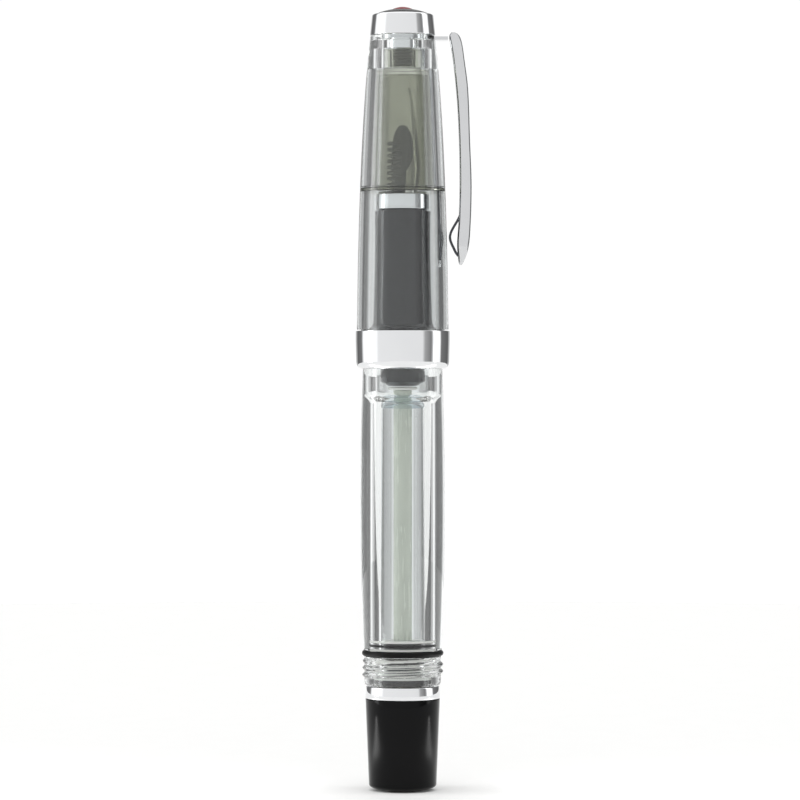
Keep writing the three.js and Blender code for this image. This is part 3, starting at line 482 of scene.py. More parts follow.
push = add_node(thread_tree, "ShaderNodeVectorMath", {0: outward, "Scale": amount}, operation="SCALE")
moved = add_node(thread_tree, "GeometryNodeSetPosition", {"Geometry": size["Geometry"], "Offset": push})
close_tree(thread_tree, moved, size["Finish"])

# %% [markdown]
# ## The barrel
#
# One thick clear tube. From the tail: threads that the cap can be posted on, a groove for a black
# ring, the long gentle belly, a square shoulder where the cap stops, and a thinner neck with the cap
# threads. Inside, the bore widens near the front, where the cup lets the ink past. Clear plastic shows
# its inner wall as much as its outer one, so both walls are drawn, in one closed outline.


# %% Barrel
def rise(radius, bottom, top, step):
    """Points straight up a wall, close enough together to carry a thread."""
    count = round((top - bottom) / step)
    return [(radius, bottom + (top - bottom) * place / count) for place in range(count + 1)]


flange_r, chamber_r, tenon_bore_r, neck_r = 4.6, 4.3, 4.7, 5.55
front_r, tail_r = neck_r + 0.95, 6.2
post_ring_at, groove_half, groove_floor_r = tail_end + 5.1, 0.5, 5.7
wall_start = post_ring_at + groove_half
cone_bottom = cup_bottom - 0.5
barrel_outside = [
    (tail_r - 0.1, tail_end), (tail_r, tail_end + 0.1), (tail_r + 0.05, tail_end + 0.45),
    *rise(tail_r + 0.05, tail_end + 0.5, post_ring_at - groove_half - 0.05, 0.07),
    (groove_floor_r, post_ring_at - groove_half), (groove_floor_r, wall_start), (tail_r + 0.13, wall_start),
    (tail_r + 0.2, wall_start + 0.08),
    *bow((tail_r + 0.2, wall_start + 0.08), (front_r + 0.92, (wall_start + shoulder) / 2),
         (front_r, shoulder - 0.5), 40),
    *bow((front_r, shoulder - 0.5), (front_r, shoulder), (front_r - 0.4, shoulder), 6),
    (neck_r + 0.05, shoulder), *rise(neck_r, shoulder + 0.05, neck_top - 0.25, 0.08),
    (neck_r - 0.15, neck_top),
]
barrel_inside = [
    (tenon_bore_r + 0.08, neck_top), (tenon_bore_r, neck_top - 0.08), (tenon_bore_r, shoulder - 0.15),
    (tenon_bore_r - 0.05, shoulder - 0.2), (chamber_r + 0.05, shoulder - 0.2),
    (chamber_r, shoulder - 0.3),
    *bow((chamber_r, shoulder - 0.3), (chamber_r, cone_bottom + 2.6),
         (chamber_r - 0.1, cone_bottom + 2.4), 4),
    *bow((chamber_r - 0.1, cone_bottom + 2.4), (bore_r, cone_bottom + 1.7), (bore_r, cone_bottom + 1.3), 6),
    (bore_r, tail_end + 1.7), (bore_r + 0.1, tail_end + 1.6), (flange_r + 0.1, tail_end + 1.6),
    (flange_r + 0.15, tail_end + 1.5), (flange_r + 0.15, tail_end + 0.05), (flange_r + 0.2, tail_end),
]
barrel_mesh = revolve("barrel", barrel_outside + barrel_inside, 144)
for root, depth, pitch, turns, start in (
    (tail_r, 0.36, 1.13, 2.7, tail_end + 1.0),
    (neck_r - 0.02, 0.25, 1.2, 2.4, shoulder + 1.2),
):
    zone_top = start + pitch * (turns + 1)
    barrel_mesh = grown(barrel_mesh, thread_tree, clear_plastic, {
        "Root": (root - 0.01) * MM, "Depth": depth * MM, "Pitch": pitch * MM,
        "Turns": turns, "Start": start * MM,
    })
    print(f"thread from {start:.1f} to {zone_top:.1f} mm")
place_piece("barrel", barrel_mesh, clear_plastic, "barrel_body", "clear_polycarbonate", "barrel_tube")

# %% [markdown]
# ## O-rings
#
# An O-ring is a circle swept along a circle, which is exactly what Curve to Mesh does. One tree with
# three sizes makes both black rings at the barrel's tail. The inner one is pressed on the clear bore:
# where rubber touches the plastic there is no air, so it is seen magnified through the wall.

# %% The ring tree
ring_tree, size = new_tree("o_ring", ["Middle radius", "Section radius", "Height"])
path = add_node(ring_tree, "GeometryNodeCurvePrimitiveCircle", {
    "Resolution": 96, "Radius": size["Middle radius"],
})
section = add_node(ring_tree, "GeometryNodeCurvePrimitiveCircle", {
    "Resolution": 20, "Radius": size["Section radius"],
})
swept = add_node(ring_tree, "GeometryNodeCurveToMesh", {"Curve": path, "Profile Curve": section})
lift = add_node(ring_tree, "ShaderNodeCombineXYZ", {"Z": size["Height"]})
raised = add_node(ring_tree, "GeometryNodeTransform", {"Geometry": swept, "Translation": lift})
close_tree(ring_tree, raised, size["Finish"])

# %% [markdown]
# The posting ring sits in its groove and grips a posted cap. The inner ring seals the ink chamber.


# %% Rings at the tail
def ring_mesh(name, middle, section_r, height):
    return grown(bpy.data.meshes.new(name), ring_tree, rubber, {
        "Middle radius": middle * MM, "Section radius": section_r * MM, "Height": height * MM,
    })


inner_ring_at = (low("housing_oring") + high("housing_oring")) / 2
place_piece(
    "posting_ring", ring_mesh("posting_ring", 6.2, 0.46, post_ring_at),
    rubber, "barrel_body", "black_rubber", "posting_oring",
)
place_piece(
    "inner_ring", ring_mesh("inner_ring", bore_r - 0.36, 0.42, inner_ring_at),
    rubber, "barrel_body", "black_rubber", "housing_oring",
)

# %% [markdown]
# ## The seal housing
#
# A milky bush closes the barrel's tail. Its flange sits in the barrel, its threaded spigot stands out
# below for the knob, and it holds the rod's seals. Its body touches the bore, so it looks as wide as
# the barrel. The roots of its thread lie in shade under the clear wall and are too fine to shade
# themselves, so black is painted into them as painted shade, which draws the fine dark lines there.
# Black is also painted round its foot as the painted shadow of the gap between the barrel's tail and
# the knob's ring. The roots and the foot take this second finish through `refinish`, which picks faces
# by where their middle lies. A separate black piece would need a gap round it, and the gap would show.

# %% Housing
housing_bottom, housing_top = low("seal_housing"), high("seal_housing")
spigot_r, foot_top = 3.1, tail_end + 0.9
body_r, gland_r, gland_top = bore_r + 0.03, 2.3, tail_end + 4.5
housing_mesh = revolve("housing", [
    (gland_r, housing_bottom), (spigot_r - 0.1, housing_bottom), (spigot_r, housing_bottom + 0.1),
    (spigot_r, tail_end), (flange_r, tail_end), (flange_r, foot_top), (flange_r, tail_end + 1.4),
    *rise(body_r - 0.12, tail_end + 1.42, inner_ring_at - 0.9, 0.07), (body_r, inner_ring_at - 0.85),
    (body_r, inner_ring_at - 0.5), (2.6, inner_ring_at - 0.5), (2.6, inner_ring_at + 0.5),
    (body_r, inner_ring_at + 0.5), (body_r, housing_top - 0.08), (body_r - 0.08, housing_top),
    (rod_hole_r, housing_top), (rod_hole_r, gland_top), (gland_r, gland_top),
])
housing_mesh = grown(housing_mesh, thread_tree, white_plastic, {
    "Root": (body_r - 0.13) * MM, "Depth": 0.14 * MM, "Pitch": 0.85 * MM, "Turns": 4,
    "Start": (tail_end + 1.6) * MM,
})
place_piece("housing", housing_mesh, white_plastic, "barrel_body", "milky_plastic", "seal_housing")


def refinish(mesh, material, chosen):
    """Gives the faces whose middle is chosen a second finish."""
    mesh.materials.append(material)
    faces = [face for face in mesh.polygons if chosen(face.center / MM)]
    for face in faces:
        face.material_index = 1
    print(f"{mesh.name}: {len(faces)} faces in {material.name}")


def in_painted_shade(middle):
    """True where shade is painted: in the roots of the thread and on the foot's rim."""
    wide = middle.xy.length
    in_root = tail_end + 1.7 < middle.z < inner_ring_at - 1 and wide < body_r - 0.07
    on_foot = tail_end - 0.01 < middle.z < foot_top and wide > spigot_r + 0.1
    return in_root or on_foot


# Painted shade: black in the thread roots, and a painted shadow on the foot's rim.
refinish(housing_mesh, black_matt, in_painted_shade)

# %% [markdown]
# ## The grip section
#
# The black part that the fingers hold. Its tenon screws in the barrel, a flange rests on the neck's
# end, and the grip is a slow taper that flares a little at the front. Its slow curve is one three-point
# bow, which keeps the highlight along it straight and clean.

# %% Section, its ring and its flange
section_rear, flange_top = low("grip_section"), neck_top + 0.8
section_r, waist_r, snout_r, collar_r = 4.8, 4.42, 3.75, 3.2
waist_at, grip_end_r = neck_top + 12.9, 4.57
nose_r, tenon_r, seal_groove_r, feed_bore_r = 3.65, 4.5, 4.18, 1.4
seal_groove_low, collar_seat = neck_top - 0.48, low("nib_collar") - 0.2
turn_piece(
    "section", [
        (feed_bore_r, section_rear), (2.4, section_rear), (nose_r, section_rear + 0.7),
        (nose_r, shoulder), (tenon_r, shoulder), (tenon_r, seal_groove_low),
        (seal_groove_r, seal_groove_low), (seal_groove_r, neck_top + 0.2),
        (neck_r - 0.08, neck_top + 0.2), (neck_r - 0.08, flange_top - 0.3),
        *bow((neck_r - 0.08, flange_top - 0.3), (section_r, flange_top - 0.05),
             (section_r, flange_top + 1), 8),
        *bow((section_r, flange_top + 1), (waist_r, waist_at), (grip_end_r, ring_bottom - 0.2), 24),
        (snout_r, ring_bottom - 0.2), (snout_r, ring_top - 0.6), (collar_r, ring_top - 0.6),
        (collar_r, collar_seat), (feed_bore_r, collar_seat),
    ], 0.1, black_section, "barrel_body", "black_gloss_resin", "grip_section",
)
ring_r = reach("section_ring")
turn_piece(
    "section_ring_polished", [
        (snout_r + 0.15, ring_bottom), (ring_r, ring_bottom), (ring_r, ring_top), (collar_r, ring_top),
        (collar_r, ring_top - 0.4), (snout_r + 0.15, ring_top - 0.4),
    ], 0.2, chrome, "barrel_body", "chrome_plate", "section_ring",
)

# %% [markdown]
# ## The nib
#
# A nib is a curved leaf of thin steel: widest at its shoulders, drawn to a point that leans towards
# the axis, with a slit that starts at a round breather hole and a hard ball welded on the tip. The
# leaf is skinned from crescents, because a flat sheet bent by a modifier keeps one curve and a nib
# changes width and curve at once. The slit and hole are cut with a Boolean, as a saw and a drill do.

# %% Nib leaf
nib_low, nib_tip = low("nib"), high("nib")
nib_flare, nib_rear_r, nib_sheet = 3.6, 2.4, 0.3
nib_shoulder = ring_top + nib_flare


def nib_crescent(height, across):
    """One row of the leaf: points over its back, then under it, at a height."""
    opening = min(1, max(0, (height - ring_top) / nib_flare))
    to_tip = max(0, (height - nib_shoulder) / (nib_tip - nib_shoulder))
    bend_r = nib_rear_r + 0.5 * opening
    half = bend_r * 0.985 * (1 - to_tip) ** 1.15 + 0.35 * to_tip
    ridge = bend_r + (1.3 - bend_r) * to_tip ** 1.4
    sweep = math.asin(half / bend_r)
    row = []
    for arc_r, side in ((bend_r, 1), (bend_r - nib_sheet, -1)):
        for step in range(across + 1):
            turn = side * sweep * (2 * step / across - 1)
            row.append((ridge - bend_r + arc_r * math.cos(turn), arc_r * math.sin(turn), height))
    return row


def skin(name, rows):
    """A closed mesh through rows with equal numbers of points, its two ends closed flat."""
    shape = bmesh.new()
    rings = [[shape.verts.new(Vector(point) * MM) for point in row] for row in rows]
    count = len(rows[0])
    for lower, upper in zip(rings, rings[1:]):
        for place in range(count):
            after = (place + 1) % count
            shape.faces.new((lower[place], lower[after], upper[after], upper[place]))
    for ring in (rings[0], rings[-1]):
        for place in range(count // 2 - 1):
            shape.faces.new((ring[place], ring[place + 1], ring[-place - 2], ring[-place - 1]))
    return mesh_from(name, shape)


nib_heights = [nib_low, ring_top - 2, ring_top]
nib_heights += [ring_top + nib_flare * step / 8 for step in range(1, 9)]
nib_heights += [nib_shoulder + (nib_tip - nib_shoulder) * step / 36 for step in range(1, 37)]
nib_mesh = skin("nib_leaf", [nib_crescent(height, 24) for height in nib_heights])
print(f"nib leaf: {nib_tip - nib_low:.1f} mm long, {len(nib_mesh.polygons)} faces")

# %% [markdown]
# The cutters are a thin blade and a round pin. They only live until the cut is made.


# %% Slit, breather hole and tip
def cut_with(mesh, cutters):
    """Takes closed cutter shapes out of a mesh and returns what is left."""
    holder = bpy.data.objects.new("blank", mesh)
    tool = bpy.data.objects.new("tool", cutters)
    for thing in (holder, tool):
        bpy.context.scene.collection.objects.link(thing)
    cut = holder.modifiers.new("cut", "BOOLEAN")
    cut.operation, cut.solver, cut.object = "DIFFERENCE", "EXACT", tool
    seen = holder.evaluated_get(bpy.context.evaluated_depsgraph_get())
    result = bpy.data.meshes.new_from_object(seen)
    for thing in (holder, tool):
        bpy.data.objects.remove(thing)
    result.name = mesh.name
    return result


breather_at = nib_shoulder + 1.6
pin = bmesh.new()
hole = bmesh.ops.create_cone(
    pin, cap_ends=True, segments=32, radius1=0.6 * MM, radius2=0.6 * MM, depth=4 * MM,
)["verts"]
bmesh.ops.rotate(pin, verts=hole, matrix=Matrix.Rotation(TURN / 4, 3, "Y"))
bmesh.ops.translate(pin, verts=hole, vec=Vector((3, 0, breather_at)) * MM)
pin_mesh = mesh_from("pin", pin)
blade_rows = [
    [(0.5, -0.06, z), (5, -0.06, z), (5, 0.06, z), (0.5, 0.06, z)] for z in (breather_at + 0.4, nib_tip + 1)
]
nib_mesh = cut_with(cut_with(nib_mesh, pin_mesh), skin("blade", blade_rows))
nib_shape = bmesh.new()
nib_shape.from_mesh(nib_mesh)
ball = bmesh.ops.create_uvsphere(nib_shape, u_segments=20, v_segments=12, radius=0.38 * MM)["verts"]
bmesh.ops.translate(nib_shape, verts=ball, vec=Vector((1.12, 0, nib_tip - 0.4)) * MM)
place_piece(
    "nib_polished", mesh_from("nib_polished", nib_shape), steel, "barrel_body", "polished_steel", "nib",
)

# %% [markdown]
# ## The feed and its fins
#
# Ink comes down a black comb under the nib. Its fins are equal half discs at equal steps. Nine copies
# could be placed by hand, but one disc repeated along a line by Geometry Nodes keeps them equal, and
# the pitch stays one number.

# %% The fin tree
fin_tree, size = new_tree("fins", ["Radius", "Thickness", "Pitch", "Count", "First"])
arc = add_node(fin_tree, "GeometryNodeCurveArc", {
    "Resolution": 40, "Radius": size["Radius"], "Start Angle": TURN * 0.265, "Sweep Angle": TURN * 0.47,
    "Connect Center": False,
})
face = add_node(fin_tree, "GeometryNodeFillCurve", {
    "Curve": add_node(fin_tree, "GeometryNodeSetSplineCyclic", {"Geometry": arc, "Cyclic": True}),
})
face.mode = "NGONS"
upward = add_node(fin_tree, "ShaderNodeCombineXYZ", {"Z": size["Thickness"]})
pulled = add_node(fin_tree, "GeometryNodeExtrudeMesh", {
    "Mesh": face, "Offset": upward, "Offset Scale": 1.0, "Individual": False,
})
under = add_node(fin_tree, "GeometryNodeFlipFaces", {"Mesh": face})
both = add_node(fin_tree, "GeometryNodeJoinGeometry")
for part in (pulled, under):
    fin_tree.links.new(part.outputs[0], both.inputs[0])
fin = add_node(fin_tree, "GeometryNodeMergeByDistance", {"Geometry": both, "Distance": 1e-6})
line = add_node(fin_tree, "GeometryNodeMeshLine", {
    "Count": size["Count"],
    "Start Location": add_node(fin_tree, "ShaderNodeCombineXYZ", {"Z": size["First"]}),
    "Offset": add_node(fin_tree, "ShaderNodeCombineXYZ", {"Z": size["Pitch"]}),
})
copies = add_node(fin_tree, "GeometryNodeInstanceOnPoints", {"Points": line, "Instance": fin})
close_tree(fin_tree, copies, size["Finish"])

# %% [markdown]
# The comb's core is turned, with a bullet-shaped tip under the nib. The fins sit in it as closed
# shapes of their own, which does no harm in a black plastic that no light passes.

# %% Feed
feed_r, feed_low, feed_tip = 1.85, low("feed"), high("feed")
core = revolve("feed_comb", soften([
    (0, feed_low), (feed_r, feed_low), (feed_r, ring_top + 5.6),
    *bow((feed_r, ring_top + 5.6), (feed_r, feed_tip - 1), (feed_r / 4, feed_tip), 16), (0, feed_tip),
], 0.1), 96)
fins = grown(bpy.data.meshes.new("fins"), fin_tree, black_matt, {
    "Radius": (feed_r + 0.7) * MM, "Thickness": 0.4 * MM, "Pitch": 0.95 * MM, "Count": 9,
    "First": (ring_top + 0.4) * MM,
})
comb = bmesh.new()
comb.from_mesh(core)
comb.from_mesh(fins)
print("fins:", len(fins.polygons), "faces")
place_piece(
    "feed_comb", mesh_from("feed_comb", comb), black_matt, "barrel_body", "black_matt_plastic", "feed",
)

# %% [markdown]
# ## The inner cap
#
# A smoke-coloured cup that closes on the section's ring. Its boss takes the finial screw. Its flange
# sits snugly in the cap's bore. The two rims of the flange are painted black as painted shade for the
# flange's dark edges, and they show through the clear cap as a pair of thin dark lines right
# across. Extra points up the flange's edge give each rim faces of its own, so that they can take the
# second finish.

# %% Inner cap
ledge_r = 5.72
inner_shoulder, boss_r, inner_top_r = boss_top - 3.3, 3.1, 4.35
rim_low, rim_high, flange_end = inner_rim + 0.14, inner_rim + 0.44, inner_rim + 0.6
screw_hole_r, dome_wall = 1.65, 0.8
flange_rise = [(ledge_r + 0.03, height) for height in (inner_rim, rim_low, rim_high, flange_end)]
inner_cap = turn_piece(
    "inner_cap_smoke", [
        (ring_r - 0.35, inner_rim), *flange_rise, (5.05, flange_end), (inner_top_r, inner_shoulder),
        (boss_r, inner_shoulder), (boss_r, boss_top), (screw_hole_r, boss_top),
        (screw_hole_r, inner_shoulder + 0.4), (0, inner_shoulder + 0.4),
        (0, inner_shoulder - dome_wall), (inner_top_r - dome_wall, inner_shoulder - dome_wall),
    ], 0.1, smoke_plastic, "cap_liner_body", "smoke_plastic", "inner_cap",
)
# Painted shade: the flange's two rims take the black finish.
refinish(
    inner_cap.data, black_matt, lambda middle: (
        middle.xy.length > ledge_r - 0.1 and middle.z < flange_end + 0.01
        and not rim_low < middle.z < rim_high
    ),
)

# %% [markdown]
# ## The cap
#
# A clear tube with a long outward curve. Its lower end is stepped in to hold the chrome band, its
# bore narrows in one step at the inner cap's flange, and a shallow slot in its top holds the clip. The
# slot is the only part that isn't round, so it is cut with a Boolean once the rest is turned.

# %% Cap outline
lip_r, top_r, cap_bore_r = 7.5, 5.34, 6.0
ledge, tube_lip_r = inner_rim + 0.8, 6.85
screw_clear_r, head_r, gap = 2.25, 3.6, 0.15
slot_floor, slot_half = strap_bottom - 0.2, 1.55
curve_at = band_top + 0.64 * (cap_top - band_top)
cap_side = [(lip_r, band_top + 0.2)]
cap_side += bow(cap_side[0], (lip_r - 0.3, curve_at), (top_r, cap_top), 40)
cap_outline = [
    (cap_bore_r, cap_lip), (tube_lip_r - 0.2, cap_lip), (tube_lip_r, band_bottom + 2.8),
    (tube_lip_r, band_top + 0.2), *cap_side, (3.45, cap_top), (3.45, slot_floor),
    (screw_clear_r, slot_floor), (screw_clear_r, boss_top + 0.2), (boss_r + gap, boss_top + 0.2),
    (boss_r + gap, inner_shoulder + 0.2), (inner_top_r + gap, inner_shoulder + 0.2),
    (5.2, ledge), (ledge_r, ledge), (cap_bore_r, neck_top + 1),
]
cap_mesh = revolve("cap_clear", soften(cap_outline, 0.06), 144)
slot_rows = [
    [(0, -slot_half, z), (9, -slot_half, z), (9, slot_half, z), (0, slot_half, z)]
    for z in (slot_floor, cap_top + 1)
]
cap_mesh = cut_with(cap_mesh, skin("slot", slot_rows))
shade_edges(cap_mesh)
place_piece("cap_clear", cap_mesh, clear_plastic, "cap_body", "clear_polycarbonate", "cap_tube")

# %% [markdown]
# The band is one spun sleeve: a rolled lower edge, a slow swell and a crisp top edge. Its rolled edge is
# kept short, because a wide one would mirror the white floor as a pale ring.

# %% Band
band_r = reach("cap_band") - 0.005
mouth_r, band_bore_r = 6.65, band_r - 0.7
turn_piece(
    "band", [
        (mouth_r, band_bottom), (mouth_r + 0.12, band_bottom),
        *bow((mouth_r + 0.12, band_bottom), (band_r - 0.2, band_bottom + 0.05),
             (band_r - 0.09, band_bottom + 1.15), 14),
        (band_r, band_top - 1.6),
        (band_r, band_top), (band_bore_r, band_top), (band_bore_r, band_bottom + 2.8),
        (band_bore_r - 0.2, cap_lip - 0.2), (mouth_r, cap_lip - 0.2),
    ], 0.12, chrome, "cap_body", "chrome_plate", "cap_band",
)

# %% [markdown]
# ## The finial
#
# A screw goes through the clip's washer into the inner cap's boss. A chrome ring with a black dome
# hides its head, and a small red disc is set in the dome. The screw shows through the clear crown, and
# its thread, down in the boss, is painted black. A sleeve with plain rings would do from afar, but
# the clear crown magnifies the screw, so its thread is grown by the same rule as the barrel's.

# %% Finial screw with its thread
screw_low, screw_top = low("finial_screw"), high("finial_screw")
screw_mesh = revolve("screw", [
    (0, screw_low), (1.3, screw_low), *rise(1.5, screw_low + 0.2, boss_top + 0.1, 0.08),
    (1.5, boss_top + 0.2), (2.1, boss_top + 0.2), (2.1, screw_top - 1.2), (head_r - 0.1, screw_top - 1.2),
    (head_r, screw_top - 1.1), (head_r, screw_top - 0.1), (head_r - 0.1, screw_top), (0, screw_top),
], 96)
screw_mesh = grown(screw_mesh, thread_tree, chrome, {
    "Root": 1.45 * MM, "Depth": 0.12 * MM, "Pitch": 0.5 * MM, "Turns": 5, "Start": (screw_low + 0.3) * MM,
})
place_piece("screw", screw_mesh, chrome, "cap_body", "chrome_plate", "finial_screw")
# The screw's thread, down in the boss, is painted black.
refinish(screw_mesh, black_matt, lambda middle: middle.z < boss_top)

# %% [markdown]
# The dome is a low parabola, which a lathe tool leaves when it sweeps across in one pass. The inset is
# a lens-shaped disc of cast resin set in its middle.

# %% Finial ring, dome and inset
finial_low, finial_top = low("finial_ring"), high("finial_ring")
dome_r, dome_low, inset_r = 4.2, low("finial_dome"), 1.9
seat_r, recess_floor = inset_r + gap, finial_low + 0.95
ring_top_r = top_r - 0.31
turn_piece(
    "finial_ring_polished", [
        (screw_clear_r, finial_low), (top_r, finial_low), (ring_top_r, finial_top - 0.35),
        *bow((ring_top_r, finial_top - 0.35), (ring_top_r - 0.02, finial_top),
             (ring_top_r - 0.35, finial_top), 6),
        (dome_r + gap, finial_top), (dome_r + gap, screw_top + 0.1), (head_r + gap, screw_top + 0.1),
        (head_r + gap, recess_floor), (screw_clear_r, recess_floor),
    ], 0.1, chrome, "cap_body", "chrome_plate", "finial_ring",
)


def dome_height(radius):
    return finial_top + 0.15 + 0.8 * (1 - (radius / dome_r) ** 2)


dome_rise = [(r, dome_height(r)) for r in (dome_r, 3.9, 3.6, 3.2, 2.8, 2.4, seat_r)]
inset_top = high("finial_inset")
turn_piece(
    "dome", [(0, dome_low), (dome_r, dome_low), *dome_rise, (seat_r, finial_top), (0, finial_top)],
    0.1, black_satin, "cap_body", "black_gloss_resin", "finial_dome",
)
inset_rise = [(r, inset_top - 0.5 * (r / inset_r) ** 2) for r in (inset_r, 1.5, 1.1, 0.7, 0.3, 0)]
turn_piece(
    "inset", [(0, finial_top + 0.2), (inset_r, finial_top + 0.2), *inset_rise],
    0.08, red_resin, "cap_body", "red_resin", "finial_inset",
)

# %% [markdown]
# ## The clip
#
# The clip is one piece of folded sheet: a flat washer and strap under the finial, then a springy
# channel that stands off the cap and comes in at its tip. The channel is skinned from U-shaped
# sections whose size follows the side view. A thin leaf, the tongue, is fixed inside it and bulges
# out to press on the cloth of a pocket.

# %% Where the clip runs
arm_top, arm_tip = high("clip_arm"), low("clip_arm")
arm_length, stand_off, arm_depth = arm_top - arm_tip, 2.5, 1.9
strap_end = top_r + stand_off - 0.45


def cap_radius_at(height):
    """The cap's outside radius at a height, from its outline."""
    for (r0, z0), (r1, z1) in zip(cap_side, cap_side[1:]):
        if z0 <= height <= z1:
            return r0 + (r1 - r0) * (height - z0) / (z1 - z0)
    return lip_r if height < cap_side[0][1] else top_r


def smooth(knots, at):
    """A smooth value through (place, value) knots."""
    for place in range(len(knots) - 1):
        (a, va), (b, vb) = knots[place], knots[place + 1]
        if at <= b or place == len(knots) - 2:
            before = knots[max(place - 1, 0)]
            after = knots[min(place + 2, len(knots) - 1)]
            slope_a = (vb - before[1]) / (b - before[0])
            slope_b = (after[1] - va) / (after[0] - a)
            t = min(1, max(0, (at - a) / (b - a)))
            h = b - a
            return (
                va * (1 + 2 * t) * (1 - t) ** 2 + slope_a * h * t * (1 - t) ** 2
                + vb * t * t * (3 - 2 * t) + slope_b * h * t * t * (t - 1)
            )


arm_back = stand_off + arm_depth
inner_knots = [
    (0.0, stand_off + 0.1), (0.012, stand_off - 0.22), (0.05, stand_off - 0.15), (0.12, stand_off),
    (0.33, stand_off + 0.13), (0.63, stand_off - 0.13),
    (0.81, stand_off - 0.53), (0.91, stand_off - 0.88), (0.985, stand_off - 0.7), (1.0, stand_off - 0.5),
]
outer_knots = [
    (0.0, arm_back - 1.15), (0.006, arm_back - 0.72), (0.02, arm_back - 0.35), (0.05, arm_back - 0.12),
    (0.115, arm_back), (0.24, arm_back + 0.2),
    (0.46, arm_back), (0.67, arm_back - 0.1), (0.87, arm_back - 0.6), (0.935, arm_back - 1),
    (0.978, arm_back - 1.6), (1.0, arm_back - 2.1),
]
print(f"clip arm: {arm_length:.1f} mm long, {arm_depth} mm deep, {stand_off} mm off the cap")
half_knots = [(0, 1.4), (0.06, 1.42), (0.5, 1.75), (0.85, 1.9), (0.95, 1.6), (1.0, 0.85)]

# %% [markdown]
# The arm could be a bent and bevelled plank, but a folded sheet has a hollow back and soft outer
# corners. So each section is a whole U, and 103 of them are joined into one closed skin.


# %% Arm
def channel(share):
    """The arm's U-shaped section at a share of its length: outside first, then inside."""
    height = arm_top - share * arm_length
    side = cap_radius_at(height)
    near, far = side + smooth(inner_knots, share), side + smooth(outer_knots, share)
    half = smooth(half_knots, share)
    hollow = min(1, max(0, (share - 0.06) / 0.02)) * min(1, max(0, (0.97 - share) / 0.015))
    wall = 0.45
    floor = near + 0.02 + hollow * max(0, far - wall - near - 0.02)
    bevel = min(0.24, 0.2 * (far - near))
    steep = 0.34 * half
    row = [(near, steep - half), (near + 0.3 * bevel, 0.4 * steep - half), (near + bevel, -half)]
    row += [(far - bevel, -half), (far - 0.3 * bevel, 0.4 * steep - half), (far - 0.05, steep - half)]
    row.append((far, -0.4 * half))
    row += [(x, -y) for x, y in reversed(row)]
    inner_half = min(half - wall, 0.95) if half > 1.4 else 0.65 * half
    inside = [
        (near, inner_half), (floor, inner_half - 0.02), (floor, 0),
        (floor, 0.02 - inner_half), (near, -inner_half),
    ]
    return [(x, y, height) for x, y in row + inside]


shares = [0.0, 0.003, 0.006, 0.012, 0.02, 0.035] + [0.05 + 0.01 * step for step in range(93)]
shares += [0.985, 0.99, 0.995, 1.0]
arm_shape = bmesh.new()
arm_rows = [channel(share) for share in shares]
rings = [[arm_shape.verts.new(Vector(point) * MM) for point in row] for row in arm_rows]
for lower, upper in zip(rings, rings[1:]):
    for place in range(len(lower)):
        after = (place + 1) % len(lower)
        arm_shape.faces.new((lower[place], lower[after], upper[after], upper[place]))
for ring in (rings[0], rings[-1]):
    arm_shape.faces.new(ring)
print("arm:", len(arm_rows), "sections of", len(rings[0]), "points")
place_piece(
    "clip_channel", mesh_from("clip_channel", arm_shape), clip_chrome, "clip_body", "chrome_plate",
    "clip_arm",
)

# %% [markdown]
# The tongue is a strip of spring steel, its colour darkened as painted shade. It leaves the hollow of
# the arm, bulges towards the cap and comes back under the arm's tip. Its thickness is laid off square
# to its path, so it stays even.

# %% Tongue
tongue_half, tongue_sheet = 0.85, 0.4
tongue_start, tongue_end = 0.62, 0.962
seat = arm_back - 0.45 - 0.1 - tongue_sheet / 2
belly = 0.3 + tongue_sheet / 2
tongue_knots = [
    (tongue_start, seat - 0.1), (0.69, seat - 0.25), (0.79, stand_off - 0.35), (0.875, belly),
    (0.94, belly + 0.75), (tongue_end, belly + 1.3),
]


def tongue_point(share):
    height = arm_top - share * arm_length
    return Vector((cap_radius_at(height) + smooth(tongue_knots, share), height))


tongue_rows = []
for step in range(41):
    share = tongue_start + (tongue_end - tongue_start) * step / 40
    here = tongue_point(share)
    along = (tongue_point(share + 0.002) - tongue_point(share - 0.002)).normalized()
    across = Vector((along.y, -along.x)) * tongue_sheet / 2
    near, far = here + across, here - across
    tongue_rows.append([
        (near.x, -tongue_half, near.y), (near.x, tongue_half, near.y),
        (far.x, tongue_half, far.y), (far.x, -tongue_half, far.y),
    ])
# Painted shade: the tongue takes the darkened steel.
place_piece(
    "clip_leaf", skin("clip_leaf", tongue_rows), steel_painted_dark, "clip_body", "chrome_plate", "clip_tongue",
)

# %% [markdown]
# The washer and strap are one flat stamping: a disc with a hole, which runs out into a straight bar. The
# outer rim and the bore have equal numbers of points, so plain four-sided faces close it all round.

# %% Washer and strap
washer = bmesh.new()
washer_r, strap_half = 3.3, 1.4
meet = math.asin(strap_half / washer_r)
rim = [(strap_end, -strap_half), (strap_end, strap_half)]
for step in range(49):
    turn = meet + (TURN - 2 * meet) * step / 48
    rim.append((washer_r * math.cos(turn), washer_r * math.sin(turn)))
bore = []
for x, y in rim:
    turn = math.atan2(y, x)
    bore.append((screw_clear_r * math.cos(turn), screw_clear_r * math.sin(turn)))
for inner_and_outer in (bore, rim):
    inner_and_outer.append(inner_and_outer[0])
for place in range(len(rim) - 1):
    corners = [rim[place], rim[place + 1], bore[place + 1], bore[place]]
    levels = [
        [washer.verts.new((x * MM, y * MM, z * MM)) for x, y in corners] for z in (strap_bottom, strap_top)
    ]
    washer.faces.new(levels[0])
    washer.faces.new(levels[1])
    for a, b in ((0, 1), (2, 3)):
        washer.faces.new((levels[0][a], levels[0][b], levels[1][b], levels[1][a]))
place_piece(
    "clip_strap", mesh_from("clip_strap", washer), clip_chrome, "cap_body", "chrome_plate", "clip_washer",
)

# %% [markdown]
# ## Pieces kept from the CAD
#
# The small parts inside the knob, the housing and the section keep their CAD shapes. They are simple
# rings and sleeves that hardly show, so new meshes would add nothing. They get finishes like the rest,
# because some of them can be seen when the knob is drawn out.

